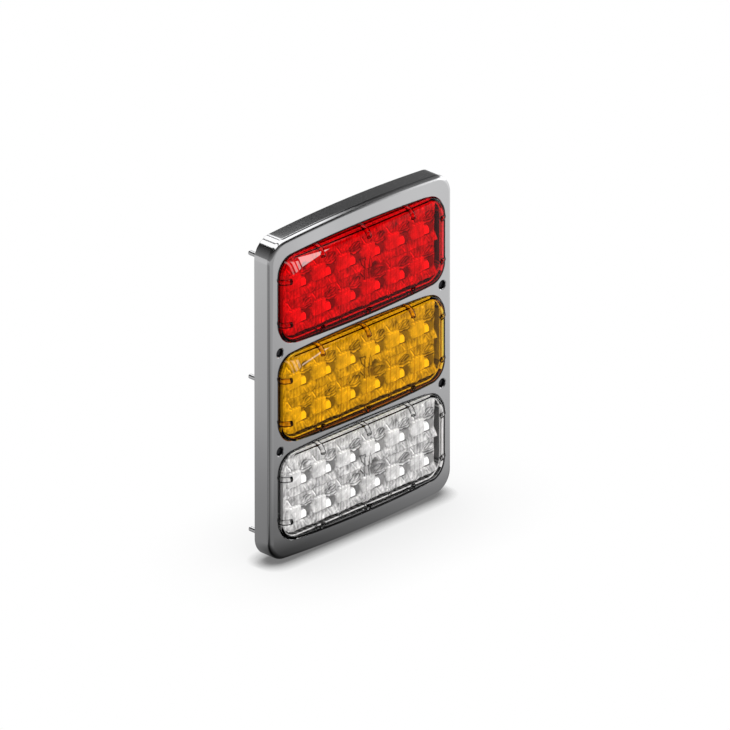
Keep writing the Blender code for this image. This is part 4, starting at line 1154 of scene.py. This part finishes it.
world = bpy.data.worlds.new("studio")
bpy.context.scene.world = world
world.use_nodes = True
tree = world.node_tree
n = Nodes(tree)
for old in list(tree.nodes):
    tree.nodes.remove(old)
out = tree.nodes.new("ShaderNodeOutputWorld")
ray = tree.nodes.new("ShaderNodeTexCoord").outputs["Generated"]


split = n.make("ShaderNodeSeparateXYZ", inputs={0: ray})
rx, ry, rz = split.outputs["X"], split.outputs["Y"], split.outputs["Z"]


def band(value, low, high, soft=0.015):
    return n.math("MULTIPLY", n.span(value, low - soft, low + soft), n.span(value, high - soft, high + soft, 1.0, 0.0))


def product(*values):
    total = values[0]
    for value in values[1:]:
        total = n.math("MULTIPLY", total, value)
    return total


mirrored = n.span(rz, -0.2, 0.80, 0.25, -0.03, "LINEAR")
shadow = product(band(rx, 0.42, 0.655, 0.03), n.span(ry, -0.62, -0.52, 1.0, 0.0), band(rz, 0.0, 0.42, 0.05))
mirrored = n.math("MAXIMUM", n.math("SUBTRACT", mirrored, product(shadow, 0.17)), 0.015)
# a wide overhead soft box in three panels
high_up = n.math("MAXIMUM", rz, 0.02)
over_x, over_y = n.math("DIVIDE", rx, high_up), n.math("DIVIDE", ry, high_up)
lit = n.math("GREATER_THAN", rz, 0.05)
panels = n.math("ADD", band(over_x, -0.475, -0.045), band(over_x, 0.07, 0.56))
panels = n.math("ADD", panels, product(band(over_x, 0.69, 1.5), n.span(rx, 0.598, 0.632, 1.0, 0.0)))
joined = product(band(over_x, 0.07, 1.5), n.span(rx, 0.598, 0.632, 1.0, 0.0), n.span(over_y, 0.25, 0.35, 1.0, 0.0))
panels = n.math("MAXIMUM", panels, joined)
gap = product(band(over_y, 0.12, 0.80, 0.03), n.span(rx, 0.50, 0.54))
mirrored = n.math("ADD", mirrored, product(panels, n.math("SUBTRACT", 1.0, gap), band(over_y, -0.95, 1.215), lit, 1.3))
rightward = product(n.span(rx, 0.645, 0.675), n.span(ry, 0.2, 0.38, 1.0, 0.0))
mirrored = n.math("ADD", mirrored, product(rightward, band(rz, 0.12, 0.72, 0.05), 0.13))
mirrored = n.math("ADD", mirrored, product(rightward, band(rz, -0.2, 0.12, 0.05), 0.5))
# a bright wall low on the right
right = product(n.span(rx, 0.63, 0.72), n.span(ry, 0.25, 0.45, 1.0, 0.0), n.span(rz, 0.25, 0.45, 1.0, 0.0))
mirrored = n.math("ADD", mirrored, product(right, 1.1))
path = tree.nodes.new("ShaderNodeLightPath")
plain = n.make("ShaderNodeBackground", inputs={"Color": (1.0, 1.0, 1.0), "Strength": 1.0})
soft_light = n.make("ShaderNodeBackground", inputs={"Color": (1.0, 1.0, 1.0), "Strength": 0.75})
mirror = n.make("ShaderNodeBackground", inputs={"Color": (1.0, 1.0, 1.0), "Strength": mirrored})
first = n.make("ShaderNodeMixShader", inputs={0: path.outputs["Is Camera Ray"], 1: soft_light, 2: plain})
second = n.make("ShaderNodeMixShader", inputs={0: path.outputs["Is Glossy Ray"], 1: first, 2: mirror})
n.put(out.inputs["Surface"], second.outputs[0])


def area_light(name, place, size, power, aim=(0.0, 0.0, 0.0)):
    data = bpy.data.lights.new(name, "AREA")
    data.shape = "DISK"
    data.size = size
    data.energy = power
    light = bpy.data.objects.new(name, data)
    light.location = place
    light.rotation_mode = "QUATERNION"
    light.rotation_quaternion = (Vector(aim) - Vector(place)).to_track_quat("-Z", "Y")
    light.visible_camera = False
    light.visible_glossy = False
    light.visible_transmission = False
    bpy.context.scene.collection.objects.link(light)
    return light


area_light("key", (-0.9, -1.3, 1.8), 1.6, 38.0)
area_light("fill", (1.4, -1.2, 1.0), 1.8, 14.0)
area_light("back", (-0.6, 1.6, 1.2), 1.6, 14.0)

camera_data = bpy.data.cameras.new("camera")
camera_data.lens = 1500.0
camera_data.sensor_width = 36.0
camera_data.clip_end = 500.0
camera = bpy.data.objects.new("camera", camera_data)
bpy.context.scene.collection.objects.link(camera)
back = Vector((-0.6409, -0.6409, 0.4226)).normalized()
look = Vector((0.00269, -0.02119, 0.00227))
camera.rotation_mode = "QUATERNION"
camera.location = look + back * (0.57354 * camera_data.lens / 36.0)
camera.rotation_quaternion = (-back).to_track_quat("-Z", "Y")
camera_data.clip_start = 1.0
bpy.context.scene.camera = camera
bpy.context.scene.view_settings.view_transform = "Standard"
